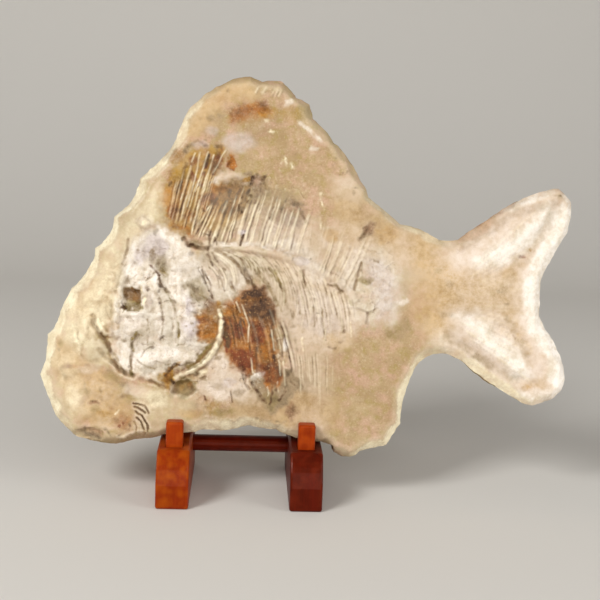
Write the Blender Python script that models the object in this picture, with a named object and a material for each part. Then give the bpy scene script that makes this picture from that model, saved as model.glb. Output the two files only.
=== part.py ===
"""Fossil fish slab on a small varnished wooden stand.

The slab is one piece of pale rock, chipped by hand into the outline of a deep-bodied fish
with a forked tail. The skeleton lies on its front as low relief: skull bones, eye pit,
gill arch, backbone, spines and ribs. It leans back on a stand of two side boards, each
with a peg in front to stop the slab from sliding, joined by a round crossbar.

Units: the numbers below are millimetres, turned to metres by MM where meshes are made.
Slab coordinates: u runs right and v runs up along the slab's face, w comes out of it.
World: the slab faces -Y, +Z is up, and the origin is the bottom centre of the whole.
"""
import math

import bmesh
import bpy
import numpy as np
from mathutils import Matrix, Vector
from mathutils.geometry import delaunay_2d_cdt

MM = 0.001

# ---------------------------------------------------------------- driving dimensions
SLAB_THICKNESS = 24.0      # at the body
TAIL_THICKNESS = 15.0      # the tail is worked thinner from behind
TAIL_START_U = 62.0        # where the back starts to thin
TAIL_THIN_U = 100.0        # where it has reached the tail's thickness
SLAB_LEAN = 12.0           # degrees that the slab leans back
SLAB_TURN = 2.6            # degrees that the slab is turned in its own plane
SLAB_MID_X = 36.5          # u = 0 stands this far right of the stand's middle
SLAB_BOTTOM_BACK = -1.0    # its face, at its bottom, lies this far behind the pegs
SLAB_BOTTOM_RISE = 2.4     # v = 0 lies this far above the ledges
EDGE_STEP = 4.8            # spacing of the points along the outline
SEAT_MARGIN = 7.0          # its bottom is flattened this far to each side of a board
BACK_MARGIN = 15.0         # and its back this far
REST_GAP = 0.3             # clearance between pieces that touch

RIM_WIDTH = 4.6            # worked bevel round the front edge
RIM_DROP = 6.5             # how far the bevel falls back
WALL_DEPTH = 15.5          # depth of the side wall's middle line
WALL_INSET = 0.7           # the wall's middle line lies inside the outline by this
BACK_INSET = 2.8           # the back is smaller than the outline by this
DOME_HEIGHT = 2.2          # the front is gently domed by this
DOME_REACH = 55.0          # and reaches its full height this far from the edge
TAIL_RIM_SHARE = 0.58      # the bevel falls less on the thin tail
RIM_CURVE = 1.35           # the bevel steepens outwards by this power
CHIP_DEPTH = 0.7           # chips of the side wall, in and out
CHIP_SHIFT = 0.8           # and backwards and forwards

BOARD_WIDTH = 19.0         # side boards of the stand
BOARD_SPACING = 77.0       # between the middles of the boards
TOE_HEIGHT = 14.0          # height of the toe's upright front
LEDGE_Z = 32.5             # height of the ledge that the slab stands on
LEDGE_FRONT_Y = 10.0       # measured back from the toe
LEDGE_BACK_Y = 47.0
INSTEP_BOW = 1.6           # bulge of the slope from the toe up to the ledge
UPRIGHT_RISE = 98.0        # above the ledge
UPRIGHT_THICKNESS = 14.0
UPRIGHT_TOP_DROP = 3.0     # its rounded top is lower at the back by this
UPRIGHT_TOP_BOW = 4.0
UPRIGHT_SPREAD = 10.0      # it is this much thicker where the heel's curve starts
HEEL_START_RISE = 24.0     # the heel's curve starts this far above the ledge
HEEL_BOW = -6.0
HEEL_Y = 84.0              # depth of a board on the table
HEEL_HEIGHT = 14.0
EDGE_ROUND = 1.3           # sanded edges of the boards
CURVE_STEP = 3.0           # spacing of the points on a board's curves

PEG_WIDTH = 10.0
PEG_DEPTH = 8.0
PEG_FRONT_Y = 15.5         # measured back from the toe
PEG_TOP_Z = 47.2
MORTISE_DEPTH = 9.0        # the pegs stand in mortises cut this deep into the ledges

BAR_DIAMETER = 10.0
BAR_Y = 52.0               # middle of the bar, back from the toe
BAR_Z = 24.3
SOCKET_DEPTH = 7.0         # depth of the blind sockets that hold its ends
BAR_SIDES = 20
CUTTER_OVERSHOOT = 4.0     # cutters run out of the wood by this

# ---------------------------------------------------------------- slab outline
# Corners clockwise from the snout, with the bow of the flake scar that leads to each:
# plus bulges outwards, minus is a bite.
OUTLINE = (
    (-150.5, 51, 0), (-149, 66.5, 0), (-142, 80, -1.7), (-135, 93.5, 0),
    (-121, 112.5, -1.6), (-121, 117, 0), (-109.5, 135.5, -2.9), (-105.5, 138.5, 0),
    (-94, 158, -2.4), (-76, 175.5, -0.6), (-68, 193, -0.7), (-57.5, 205.5, 1),
    (-43.5, 214.5, 0.7), (-27.5, 219, 1.2), (-20, 216, 0), (-9.5, 216, 0.6),
    (0, 206, 1.2), (8, 201.5, 0.3), (10, 193, 0.3), (21.5, 180.5, 0.7),
    (22.5, 178.5, 0), (32, 167, 0.6), (41.5, 150, 0), (42.5, 145, 0),
    (50, 139, 0), (61.5, 129, 0.3), (73.5, 125.5, 0.4), (84.5, 119, 0),
    (96, 119, -0.7), (122, 136, 0), (155, 149, 1.5), (158, 149, 0),
    (165.5, 140.5, 0.8), (162, 121, 1.2), (146, 95, -0.3), (144.5, 72, -0.4),
    (150.5, 60.5, -0.6), (158, 42.5, 0.6), (157, 27.5, 1.2), (150.5, 22, 0.3),
    (138.5, 18.5, 0), (130.5, 21.5, 0.6), (110, 35, 0.2), (98, 44.5, 0),
    (84.5, 51, -1.2), (68, 41, -2.6), (59.5, 15, -0.8), (59, 9.5, 0),
    (50.5, -3, 0), (34.5, -6.5, 0), (28.5, -10, 0.3), (17, -5.5, 0.9),
    (11.5, -0.5, -0.8), (5, -0.5, 0), (-9.5, 4.5, 0.3), (-15.5, 7.5, 0.3),
    (-25, 8.5, 0), (-38, 8.5, -1.5), (-48.5, 7, 0), (-63.5, 7, -1.5),
    (-82.5, 6, 0.3), (-90, 4, 0.3), (-103, 2.5, -0.6), (-120.5, 2.5, 1.2),
    (-135, 7.5, 0.6), (-144.5, 17.5, 0), (-148.5, 28, 0.4), (-154, 43, 0),
)

# Places where the worked bevel is wider: (u, v, reach, extra width)
WIDE_RIMS = (
    (-133, 96, 45, 2.6), (-146, 42, 40, 2.0), (-84, 170, 45, 1.6), (-45, 6, 34, 2.6),
    (105, 42, 40, 2.2), (155, 45, 26, 1.2), (100, 128, 40, 1.4),
)

# Ridges (+) and grooves (-) of the skeleton: name, half width, height, points
LINES = (
    ("cleithrum", 2.8, 2.4, ((-48, 77.5), (-46.5, 70), (-47, 61), (-50, 54), (-55, 48.5),
        (-59.5, 45), (-65.5, 42), (-72.5, 41.5), (-76, 38))),
    ("gill_slit", 2.2, -1.4, ((-56, 59), (-59.5, 53), (-65, 47), (-71.5, 45.5), (-75.5, 47.5))),
    ("opercle_edge", 1.2, -1.5, ((-87, 105), (-83.5, 100.5), (-81, 95.5), (-79, 91), (-75.5, 87),
        (-73.5, 83))),
    ("gape", 2.4, -2.6, ((-122, 76.5), (-121, 70.5), (-116.5, 64), (-113, 59), (-112, 54.5))),
    ("gape_low", 2.2, -2.2, ((-118, 56.5), (-114.5, 52.5), (-109.5, 49), (-106.5, 45),
        (-103, 42.5), (-99, 41))),
    ("tooth_plate", 2.4, 1.6, ((-119.5, 73.5), (-117, 69.5), (-115, 66))),
    ("quadrate", 3.8, 1.8, ((-103.5, 63.5), (-102.5, 56.5), (-103, 49.5), (-101, 44))),
    ("quadrate_edge", 1.2, -1.8, ((-95.5, 65), (-99, 60.5), (-99, 55), (-100, 49), (-99.5, 42))),
    ("snout_groove", 1.4, -1.0, ((-100.5, 121.5), (-101.5, 115.5), (-102.5, 111), (-104.5, 107))),
    ("skull_notch", 1.6, -1.0, ((-85, 116), (-85, 110.5), (-86.5, 106))),
    ("orbit_back", 1.8, 1.3, ((-92.5, 93), (-92.5, 86.5), (-92, 80))),
    ("orbit_floor", 1.8, 1.0, ((-102.5, 78), (-96.5, 76.5), (-90.5, 78.5))),
    ("orbit_front", 3.2, 1.6, ((-110, 88), (-109, 81), (-107.5, 74))),
    ("shoulder", 1.8, -2.0, ((-68, 121.5), (-66, 118), (-61, 115.5), (-54, 115))),
    ("backbone", 3.2, 1.4, ((-55, 118), (-44, 116), (-29, 114.5), (-14.5, 111.5), (0.5, 106.5),
        (13.5, 100.5), (27, 92), (31.5, 83.5))),
    ("rib_gap_a", 1.3, -1.5, ((-40, 109.5), (-35, 103.5), (-30.5, 94.5))),
    ("chalk_crack_c", 1.1, -1.2, ((27.5, 79), (35.5, 78), (40, 75.5), (46, 78))),
    ("dorsal_scar", 1.6, -1.1, ((36.5, 119), (39.5, 123), (43.5, 129))),
    ("upper_lead_groove", 5.5, -2.2, ((97.5, 112.5), (120.5, 128), (139, 136.5), (155, 139.5))),
    ("upper_ray_swell", 9, 1.4, ((102, 105), (120.5, 116), (135.5, 125), (150, 134))),
    ("upper_valley", 7, -3.0, ((117, 97), (127.5, 103.5), (134, 107.5), (140, 113.5), (151, 126),
        (155.5, 134.5))),
    ("lower_lead_groove", 5.5, -2.2, ((87.5, 61.5), (96, 57), (103.5, 52.5), (112.5, 44.5),
        (124.5, 36.5), (139.5, 31.5))),
    ("lower_ray_swell", 9, 1.4, ((92, 69.5), (107, 61.5), (121.5, 47.5), (133.5, 38))),
    ("lower_valley", 7, -2.8, ((119, 64), (127.5, 60.5), (132, 55.5), (137, 50.5), (145.5, 41),
        (148, 34))),
)

# Bosses (+) and pits (-): name, u, v, half length, half width, turn in degrees, height
LUMPS = (
    ("eye_pit", -99, 86, 6, 6.8, 0, -3.0),
    ("snout_hollow", -116, 79.5, 6.5, 6, 0, -1.4),
    ("chin_boss", -119.5, 58.5, 8, 7, 20, 1.8),
    ("lip_boss", -127.5, 68.5, 3.5, 9, -12, 1.0),
    ("brow_boss", -88, 110, 14, 11, 30, 1.3),
    ("cheek_boss", -73.5, 70.5, 14, 26, 5, 1.5),
    ("nape_knob", -92, 131, 5, 5.5, 0, 1.4),
    ("forehead", -99.5, 106, 11, 16, -10, 1.0),
    ("jaw_cheek", -90, 59, 10, 16, 0, 1.0),
    ("throat_pit", -69, 33.5, 6.8, 5.6, 0, -2.4),
    ("gill_pocket", -79.5, 39, 5, 5.5, -30, -1.8),
    ("belly_skin", -43.5, 34.5, 19, 15, 0, 0.9),
    ("flank_chalk", 44, 98, 17, 26, 10, 0.9),
    ("tail_wedge", 106, 81, 24, 7, 0, 2.0),
    ("lower_left_swell", -124, 30.5, 20, 15, 0, 1.2),
    ("edge_chip", -124, 7.5, 10.5, 3.4, -10, -2.6),
    ("crown_swell", -28, 191.5, 22, 13, 20, 1.0),
)

# Rows of spines and ribs: name, count, half width, height, sag, line of roots, line of tips
FAMILIES = (
    ("dorsal_spines", 27, 1.5, 1.2, 0,
     ((-65.5, 123), (-49.5, 117), (-29, 115), (0.5, 109), (27, 93)),
     ((-56.5, 145), (-43.5, 149.5), (-34.5, 155.5), (-21.5, 158), (1, 149.5), (21.5, 134),
      (39.5, 120))),
    ("nape_spines", 6, 1.5, 1.1, 0,
     ((-70, 137), (-62.5, 140.5), (-54, 156)),
     ((-63.5, 165), (-53.5, 173.5), (-42, 173.5))),
    ("ribs", 14, 1.8, 1.2, 5,
     ((-57.5, 108.5), (-44, 113.5), (-23.5, 112), (-2, 106.5)),
     ((-47, 77.5), (-30, 74), (-11.5, 73.5), (6.5, 54.5))),
    ("tail_ribs", 8, 1.7, 1.1, 1.5,
     ((0.5, 105.5), (27, 91)),
     ((9, 53), (30.5, 58.5))),
    ("belly_ribs", 7, 2.0, 1.2, 1,
     ((-42.5, 74), (-0.5, 65)),
     ((-33, 30.5), (6, 16.5))),
)
# The oval of the skull, where the bones are uneven: u, v, half length, half width, turn
SKULL_ZONE = (-82, 78, 42, 50, 0)

# Unevenness: (depth, size of its bumps, seed)
STONE_NOISE = ((0.5, 23.0, 1), (0.3, 9.0, 2))
BONE_NOISE = ((0.9, 7.0, 21), (0.45, 4.5, 22))
RIM_NOISE = (0.22, 11.0, 3)
BACK_NOISE = (1.6, 19.0, 9)
WALL_SEEDS = (5, 7)        # for the chips of the wall's middle line and of its back edge

SPINE_POINT_STEP = 7.0     # points along a spine
LINE_POINT_STEP = 4.0      # points along a ridge or groove
GRID_AREA = (-160, 170, -15, 225)

# Sizes of the front's mesh: (cell, u from, u to, v from, v to), finest last
MESH_ZONES = (
    (8.0, *GRID_AREA),
    (5.0, 86, 165, 15, 155),
    (4.6, -50, 62, 15, 150),
    (3.0, -126, -49, 24, 128),
)
BACK_CELL = 12.0

# ---------------------------------------------------------------- colours (linear RGB)
STONE_COLOUR = (0.58, 0.45, 0.29)
WOOD_COLOUR = (0.36, 0.055, 0.012)
PEG_COLOUR = (0.42, 0.075, 0.016)
BAR_COLOUR = (0.24, 0.03, 0.01)


# ---------------------------------------------------------------- small tools
def make_material(name, colour, roughness):
    """A plain Principled material."""
    material = bpy.data.materials.new(name)
    material.use_nodes = True
    shader = material.node_tree.nodes["Principled BSDF"]
    shader.inputs["Base Color"].default_value = (*colour, 1.0)
    shader.inputs["Roughness"].default_value = roughness
    shader.inputs["Metallic"].default_value = 0.0
    return material


def make_object(name, bm, material):
    """Turn a bmesh into a named object with one material."""
    mesh = bpy.data.meshes.new(name)
    bm.to_mesh(mesh)
    bm.free()
    mesh.materials.append(material)
    obj = bpy.data.objects.new(name, mesh)
    bpy.context.scene.collection.objects.link(obj)
    return obj


def make_cutter(name, bm):
    """A hidden object that only a Boolean uses."""
    mesh = bpy.data.meshes.new(name)
    bm.to_mesh(mesh)
    bm.free()
    obj = bpy.data.objects.new(name, mesh)
    bpy.context.scene.collection.objects.link(obj)
    obj.hide_render = True
    obj.display_type = 'WIRE'
    return obj


def arc_points(start, end, bow, step):
    """Points from start up to, not including, end, along an arc that bows to the left."""
    start = np.array(start, float)
    end = np.array(end, float)
    chord = end - start
    length = float(np.hypot(*chord))
    side = np.array((-chord[1], chord[0])) / length
    count = max(1, round(length / step))
    along = np.arange(count) / count
    lift = bow * 4.0 * along * (1.0 - along)
    return start + along[:, None] * chord + lift[:, None] * side


def resample(points, step):
    """Evenly spaced points along a polyline, both ends included."""
    points = np.array(points, float)
    lengths = np.hypot(*np.diff(points, axis=0).T)
    reach = np.concatenate(([0.0], np.cumsum(lengths)))
    count = max(2, round(reach[-1] / step) + 1)
    where = np.linspace(0.0, reach[-1], count)
    return np.column_stack([np.interp(where, reach, points[:, axis]) for axis in (0, 1)])


def smooth_step(value):
    """Cubic ease from 0 to 1."""
    value = np.clip(value, 0.0, 1.0)
    return value * value * (3.0 - 2.0 * value)


def lattice_noise(u, v, cell, seed):
    """Smooth noise between -1 and 1, with bumps about one cell across."""
    column = np.floor(u / cell)
    row = np.floor(v / cell)
    across = smooth_step(u / cell - column)
    up = smooth_step(v / cell - row)

    def corner(i, j):
        wave = np.sin((column + i) * 127.1 + (row + j) * 311.7 + seed * 74.7) * 43758.5453
        return (wave - np.floor(wave)) * 2.0 - 1.0

    low = corner(0, 0) * (1 - across) + corner(1, 0) * across
    high = corner(0, 1) * (1 - across) + corner(1, 1) * across
    return low * (1 - up) + high * up


def rough_surface(points, layers):
    """Several layers of noise added up."""
    height = np.zeros(len(points))
    for depth, cell, seed in layers:
        height += depth * lattice_noise(points[:, 0], points[:, 1], cell, seed)
    return height


def segment_distance(points, starts, ends):
    """Distance from each point to the nearest segment, and which segment that is."""
    best = np.full(len(points), 1e9)
    nearest = np.zeros(len(points), int)
    for index, (start, end) in enumerate(zip(starts, ends)):
        chord = end - start
        along = np.clip(((points - start) @ chord) / (chord @ chord), 0.0, 1.0)
        gap = np.hypot(*(points - start - along[:, None] * chord).T)
        closer = gap < best
        best[closer] = gap[closer]
        nearest[closer] = index
    return best, nearest


def polyline_distance(points, line):
    """Distance from each point to a polyline."""
    line = np.array(line, float)
    return segment_distance(points, line[:-1], line[1:])[0]


def inside_ring(points, ring):
    """Even-odd test of points against a closed ring."""
    inside = np.zeros(len(points), bool)
    for (u0, v0), (u1, v1) in zip(ring, np.roll(ring, -1, axis=0)):
        crosses = (v0 > points[:, 1]) != (v1 > points[:, 1])
        if v1 != v0:
            cut = u0 + (points[:, 1] - v0) / (v1 - v0) * (u1 - u0)
            inside ^= crosses & (points[:, 0] < cut)
    return inside


def keep_apart(points, taken, gap):
    """The points that are at least gap away from every taken one."""
    if not len(points) or not len(taken):
        return points
    squares = ((points[:, None, :] - taken[None, :, :]) ** 2).sum(axis=2)
    return points[squares.min(axis=1) > gap * gap]


# ---------------------------------------------------------------- the slab's relief
def outline_ring():
    """The closed outline and, for each point, how far along its flake it lies."""
    corners = [(u, v) for u, v, _ in OUTLINE]
    points = []
    bites = []
    for index, (u, v, bow) in enumerate(OUTLINE):
        flake = arc_points(corners[index - 1], (u, v), bow, EDGE_STEP)
        chord = math.dist(corners[index - 1], (u, v))
        along = np.arange(len(flake)) / len(flake)
        points.append(flake)
        bites.append(np.sin(math.pi * along) * min(1.0, chord / 18.0))
    return np.concatenate(points), np.concatenate(bites)


def ring_normals(ring, smoothing=2):
    """Outward directions of a clockwise ring, smoothed over a few neighbours."""
    chord = np.roll(ring, -1, axis=0) - np.roll(ring, 1, axis=0)
    normals = np.column_stack((-chord[:, 1], chord[:, 0]))
    normals /= np.hypot(*normals.T)[:, None]
    for _ in range(smoothing):
        normals = normals + np.roll(normals, 1, axis=0) + np.roll(normals, -1, axis=0)
        normals /= np.hypot(*normals.T)[:, None]
    return normals


def rim_width(points, bite):
    """Width of the worked bevel near each point."""
    width = np.full(len(points), RIM_WIDTH)
    for u, v, reach, extra in WIDE_RIMS:
        near = np.hypot(points[:, 0] - u, points[:, 1] - v)
        width += extra * smooth_step(1.0 - near / reach)
    width *= 0.78 + 0.45 * bite
    return width * (1.0 + rough_surface(points, (RIM_NOISE,)))


def spine_lines(family):
    """The centre lines of one row of spines or ribs."""
    _, count, _, _, sag, roots, tips = family
    root_points = resample(roots, 0.5)
    tip_points = resample(tips, 0.5)
    lines = []
    for index in range(count):
        share = index / (count - 1)
        root = root_points[round(share * (len(root_points) - 1))]
        tip = tip_points[round(share * (len(tip_points) - 1))]
        chord = tip - root
        side = np.array((-chord[1], chord[0])) / np.hypot(*chord)
        along = np.linspace(0.0, 1.0, 9)
        lift = sag * 4.0 * along * (1.0 - along)
        lines.append(root + along[:, None] * chord + lift[:, None] * side)
    return lines


def bump_radius(points, u, v, half_long, half_wide, turn):
    """Distance from an oval's middle, 1 on its edge."""
    angle = math.radians(turn)
    du = points[:, 0] - u
    dv = points[:, 1] - v
    along = (du * math.cos(angle) + dv * math.sin(angle)) / half_long
    across = (dv * math.cos(angle) - du * math.sin(angle)) / half_wide
    return np.hypot(along, across)


def ridge_profile(distance, half_width):
    """Rounded bump: 1 on the line, 0 at the half width."""
    return (1.0 - np.clip(distance / half_width, 0.0, 1.0) ** 2) ** 2


def front_relief(points, ring, bites):
    """Height w of the slab's front at each point."""
    edge_gap, nearest = segment_distance(points, ring, np.roll(ring, -1, axis=0))
    bite = bites[nearest]
    height = DOME_HEIGHT * smooth_step(edge_gap / DOME_REACH)
    height += rough_surface(points, STONE_NOISE)
    skull = smooth_step(1.5 - 1.5 * bump_radius(points, *SKULL_ZONE) ** 2)
    height += skull * rough_surface(points, BONE_NOISE)
    for _, u, v, half_long, half_wide, turn, rise in LUMPS:
        sharpness = 1.6 if rise < 0 else 1.0
        radius = bump_radius(points, u, v, half_long, half_wide, turn)
        height += rise * smooth_step(sharpness * (1.0 - radius ** 2))
    for _, half_width, rise, line in LINES:
        height += rise * ridge_profile(polyline_distance(points, line), half_width)
    for family in FAMILIES:
        _, _, half_width, rise, _, _, _ = family
        ridge = np.zeros(len(points))
        for line in spine_lines(family):
            ridge = np.maximum(ridge, ridge_profile(polyline_distance(points, line), half_width))
        height += rise * ridge
    fall = 1.0 - np.clip(edge_gap / rim_width(points, bite), 0.0, 1.0)
    rim_share = 1.0 + (TAIL_RIM_SHARE - 1.0) * tail_share(points)
    return height - RIM_DROP * rim_share * fall ** RIM_CURVE


def tail_share(points):
    """0 on the body, 1 on the tail."""
    return smooth_step((points[:, 0] - TAIL_START_U) / (TAIL_THIN_U - TAIL_START_U))


def slab_depth(points):
    """Thickness behind each point of the outline."""
    return SLAB_THICKNESS + (TAIL_THICKNESS - SLAB_THICKNESS) * tail_share(points)


# ---------------------------------------------------------------- the slab's mesh
def hexagon_grid(cell, u0, u1, v0, v1):
    """Staggered rows of points, one cell apart."""
    rows = []
    row_step = cell * math.sqrt(3) / 2
    for row in range(int((v1 - v0) / row_step) + 1):
        shift = 0.5 * cell * (row % 2)
        u = np.arange(u0 + shift, u1, cell)
        rows.append(np.column_stack((u, np.full(len(u), v0 + row * row_step))))
    return np.concatenate(rows)


def zone_points(taken, ring):
    """Free points of the front, finest zones first, clear of what is already placed."""
    for cell, u0, u1, v0, v1 in reversed(MESH_ZONES):
        grid = hexagon_grid(cell, u0, u1, v0, v1)
        grid = grid[inside_ring(grid, ring)]
        edge_gap = segment_distance(grid, ring, np.roll(ring, -1, axis=0))[0]
        grid = grid[edge_gap > RIM_WIDTH + 3.0]
        grid = keep_apart(grid, taken, 0.62 * cell)
        taken = np.concatenate((taken, grid))
    return taken


def guide_lines():
    """Polylines that the front's triangles follow: crests, and the valleys between them."""
    guides = [resample(line, LINE_POINT_STEP) for _, _, _, line in LINES]
    for family in FAMILIES:
        crests = [resample(line, SPINE_POINT_STEP) for line in spine_lines(family)]
        for crest, following in zip(crests, crests[1:]):
            count = min(len(crest), len(following))
            pick_one = np.linspace(0, len(crest) - 1, count).round().astype(int)
            pick_two = np.linspace(0, len(following) - 1, count).round().astype(int)
            guides.append(crest)
            guides.append(0.5 * (crest[pick_one] + following[pick_two]))
        guides.append(crests[-1])
    return guides


def triangulate(ring, guides, free):
    """Triangles that fill the ring and keep every guide line as edges.

    The ring's points come first in what is returned.
    """
    points = [Vector(point) for point in ring]
    edges = []
    for guide in guides:
        first = len(points)
        points += [Vector(point) for point in guide]
        edges += [(first + step, first + step + 1) for step in range(len(guide) - 1)]
    points += [Vector(point) for point in free]
    outline = list(range(len(ring)))[::-1]
    found, _, faces, origins, _, _ = delaunay_2d_cdt(points, edges, [outline], 1, 0.05)
    place = {}
    for index, sources in enumerate(origins):
        for source in sources:
            place[source] = index
    order = [place[index] for index in range(len(ring))]
    order += sorted(set(range(len(found))) - set(order))
    rank = {old: new for new, old in enumerate(order)}
    coordinates = np.array([found[old] for old in order])
    return coordinates, [tuple(rank[corner] for corner in face) for face in faces]


def rim_rows(ring, bites):
    """Rows of points that hold the bevel's slope and its crest."""
    normals = ring_normals(ring)
    width = rim_width(ring, bites)[:, None]
    rows = np.concatenate((ring - normals * width * 0.5, ring - normals * width * 1.05))
    edge_gap = segment_distance(rows, ring, np.roll(ring, -1, axis=0))[0]
    wanted = np.concatenate((width * 0.5, width * 1.05))[:, 0]
    rows = rows[(edge_gap > 0.85 * wanted) & inside_ring(rows, ring)]
    kept = rows[:1]
    for row in rows[1:]:
        if len(keep_apart(row[None, :], kept, 2.2)):
            kept = np.concatenate((kept, row[None, :]))
    return kept


def wall_ring(ring, depth_share, inset, seed):
    """One ring of the chipped side wall: its places and depths."""
    normals = ring_normals(ring, smoothing=4)
    chips = lattice_noise(ring[:, 0], ring[:, 1], 9.0, seed)
    points = ring - normals * (inset + CHIP_DEPTH * chips)[:, None]
    shift = CHIP_SHIFT * lattice_noise(ring[:, 0], ring[:, 1], 13.0, seed + 1)
    return points, -slab_depth(ring) * depth_share - shift


def slab_matrix():
    """Where the slab stands: leant back and turned a little in its own plane."""
    lean = Matrix.Rotation(-math.radians(SLAB_LEAN), 4, 'X')
    turn = Matrix.Rotation(-math.radians(SLAB_TURN), 4, 'Y')
    front_y = PEG_FRONT_Y + PEG_DEPTH + REST_GAP + SLAB_BOTTOM_BACK
    place = Vector((SLAB_MID_X, front_y, LEDGE_Z + SLAB_BOTTOM_RISE)) * MM
    return Matrix.Translation(place) @ lean @ turn


def seat_on_stand(places):
    """Flatten the slab where it touches the ledges, the pegs and the uprights."""
    turn = np.array(slab_matrix().to_3x3())
    shift = np.array(slab_matrix().translation) / MM
    world = places @ turn.T + shift
    lean = math.tan(math.radians(SLAB_LEAN))
    for side in (-1, 1):
        reach = np.abs(world[:, 0] - side * BOARD_SPACING / 2) - BOARD_WIDTH / 2
        near = reach < SEAT_MARGIN
        near_upright = reach < BACK_MARGIN
        low = near & (world[:, 2] < LEDGE_Z + REST_GAP)
        world[low, 2] = LEDGE_Z + REST_GAP
        peg_back = PEG_FRONT_Y + PEG_DEPTH + REST_GAP
        ahead = near & (world[:, 2] < PEG_TOP_Z + 2.0) & (world[:, 1] < peg_back)
        world[ahead, 1] = peg_back
        face = LEDGE_BACK_Y - REST_GAP + (world[:, 2] - LEDGE_Z) * lean
        face -= np.clip(EDGE_ROUND + REST_GAP - (world[:, 2] - LEDGE_Z), 0.0, None)
        behind = near_upright & (world[:, 1] > face)
        world[behind, 1] = face[behind]
    return (world - shift) @ turn


def stone_mesh():
    """The closed mesh of the slab in slab coordinates (x = u, y = -w, z = v)."""
    ring, bites = outline_ring()
    rim = rim_rows(ring, bites)
    guides = guide_lines()
    taken = np.concatenate([rim] + guides)
    free = zone_points(taken, ring)[sum(len(guide) for guide in guides) + len(rim):]
    front, front_faces = triangulate(ring, guides, np.concatenate((rim, free)))
    middle, middle_w = wall_ring(ring, WALL_DEPTH / SLAB_THICKNESS, WALL_INSET, WALL_SEEDS[0])
    back_ring, back_w = wall_ring(ring, 1.0, BACK_INSET, WALL_SEEDS[1])
    grid = hexagon_grid(BACK_CELL, *GRID_AREA)
    grid = grid[inside_ring(grid, back_ring)]
    edge_gap = segment_distance(grid, back_ring, np.roll(back_ring, -1, axis=0))[0]
    back, back_faces = triangulate(back_ring, [], grid[edge_gap > 0.55 * BACK_CELL])
    inner = back[len(ring):]
    hollows = 0.5 * BACK_NOISE[0] + 0.5 * rough_surface(inner, (BACK_NOISE,))
    back_w = np.concatenate((back_w, hollows - slab_depth(inner)))

    front_w = front_relief(front, ring, bites)
    sheets = (np.column_stack((front[:, 0], -front_w, front[:, 1])),
              np.column_stack((middle[:, 0], -middle_w, middle[:, 1])),
              np.column_stack((back[:, 0], -back_w, back[:, 1])))
    places = seat_on_stand(np.concatenate(sheets))
    middle_first = len(front)
    back_first = middle_first + len(middle)
    faces = list(front_faces)
    faces += [tuple(back_first + corner for corner in reversed(face)) for face in back_faces]
    for index in range(len(ring)):
        following = (index + 1) % len(ring)
        faces.append((index, following, middle_first + following, middle_first + index))
        faces.append((middle_first + index, middle_first + following,
                      back_first + following, back_first + index))
    return places, faces


def build_slab():
    """The stone, one solid."""
    places, faces = stone_mesh()
    bm = bmesh.new()
    verts = [bm.verts.new(place * MM) for place in places]
    for face in faces:
        bm.faces.new([verts[corner] for corner in face])
    bmesh.ops.triangulate(bm, faces=bm.faces)
    bmesh.ops.recalc_face_normals(bm, faces=bm.faces)
    slab = make_object("fossil_slab", bm, make_material("pale_limestone", STONE_COLOUR, 0.85))
    slab.matrix_world = slab_matrix()
    slab.data.shade_smooth()
    slab.data.set_sharp_from_angle(angle=math.radians(50))
    return slab


# ---------------------------------------------------------------- the stand
def board_profile():
    """Outline of a side board seen from its right: (y, z), toe at the origin."""
    lean = math.tan(math.radians(SLAB_LEAN))
    top_y = LEDGE_BACK_Y + UPRIGHT_RISE * lean
    top_z = LEDGE_Z + UPRIGHT_RISE
    back_y = LEDGE_BACK_Y + UPRIGHT_THICKNESS
    corners = (
        ((0, 0), 0), ((0, TOE_HEIGHT), 0), ((LEDGE_FRONT_Y, LEDGE_Z), INSTEP_BOW),
        ((LEDGE_BACK_Y, LEDGE_Z), 0), ((top_y, top_z), 0),
        ((top_y + UPRIGHT_THICKNESS, top_z - UPRIGHT_TOP_DROP), UPRIGHT_TOP_BOW),
        ((back_y + UPRIGHT_SPREAD, LEDGE_Z + HEEL_START_RISE), 0),
        ((HEEL_Y, HEEL_HEIGHT), HEEL_BOW), ((HEEL_Y, 0), 0),
    )
    points = []
    for index, (corner, bow) in enumerate(corners):
        step = CURVE_STEP if bow else math.inf
        points += [tuple(point) for point in arc_points(corners[index - 1][0], corner, bow, step)]
    return points


def build_board(name, middle_x, inner_side):
    """One side board: sanded edges, a mortise for the peg, a socket for the crossbar."""
    bm = bmesh.new()
    left = middle_x - BOARD_WIDTH / 2
    verts = [bm.verts.new((left * MM, y * MM, z * MM)) for y, z in board_profile()]
    side = bm.faces.new(verts)
    swept = bmesh.ops.extrude_face_region(bm, geom=[side])
    moved = [item for item in swept["geom"] if isinstance(item, bmesh.types.BMVert)]
    bmesh.ops.translate(bm, verts=moved, vec=(BOARD_WIDTH * MM, 0, 0))
    bmesh.ops.recalc_face_normals(bm, faces=bm.faces)
    board = make_object(name, bm, make_material(name + "_varnished_wood", WOOD_COLOUR, 0.3))
    rounding = board.modifiers.new("sanded_edges", 'BEVEL')
    rounding.width = EDGE_ROUND * MM
    rounding.segments = 2
    rounding.limit_method = 'ANGLE'
    rounding.angle_limit = math.radians(35)
    for cutter in board_cutters(middle_x, inner_side):
        cut = board.modifiers.new(cutter.name, 'BOOLEAN')
        cut.object = cutter
        cut.operation = 'DIFFERENCE'
        cut.solver = 'EXACT'
    board.data.shade_smooth()
    board.data.set_sharp_from_angle(angle=math.radians(30))
    return board


def add_box(bm, middle, size):
    """A box by its middle and size."""
    made = bmesh.ops.create_cube(bm, size=1.0)
    bmesh.ops.scale(bm, verts=made["verts"], vec=Vector(size) * MM)
    bmesh.ops.translate(bm, verts=made["verts"], vec=Vector(middle) * MM)
    return made["verts"]


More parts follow.
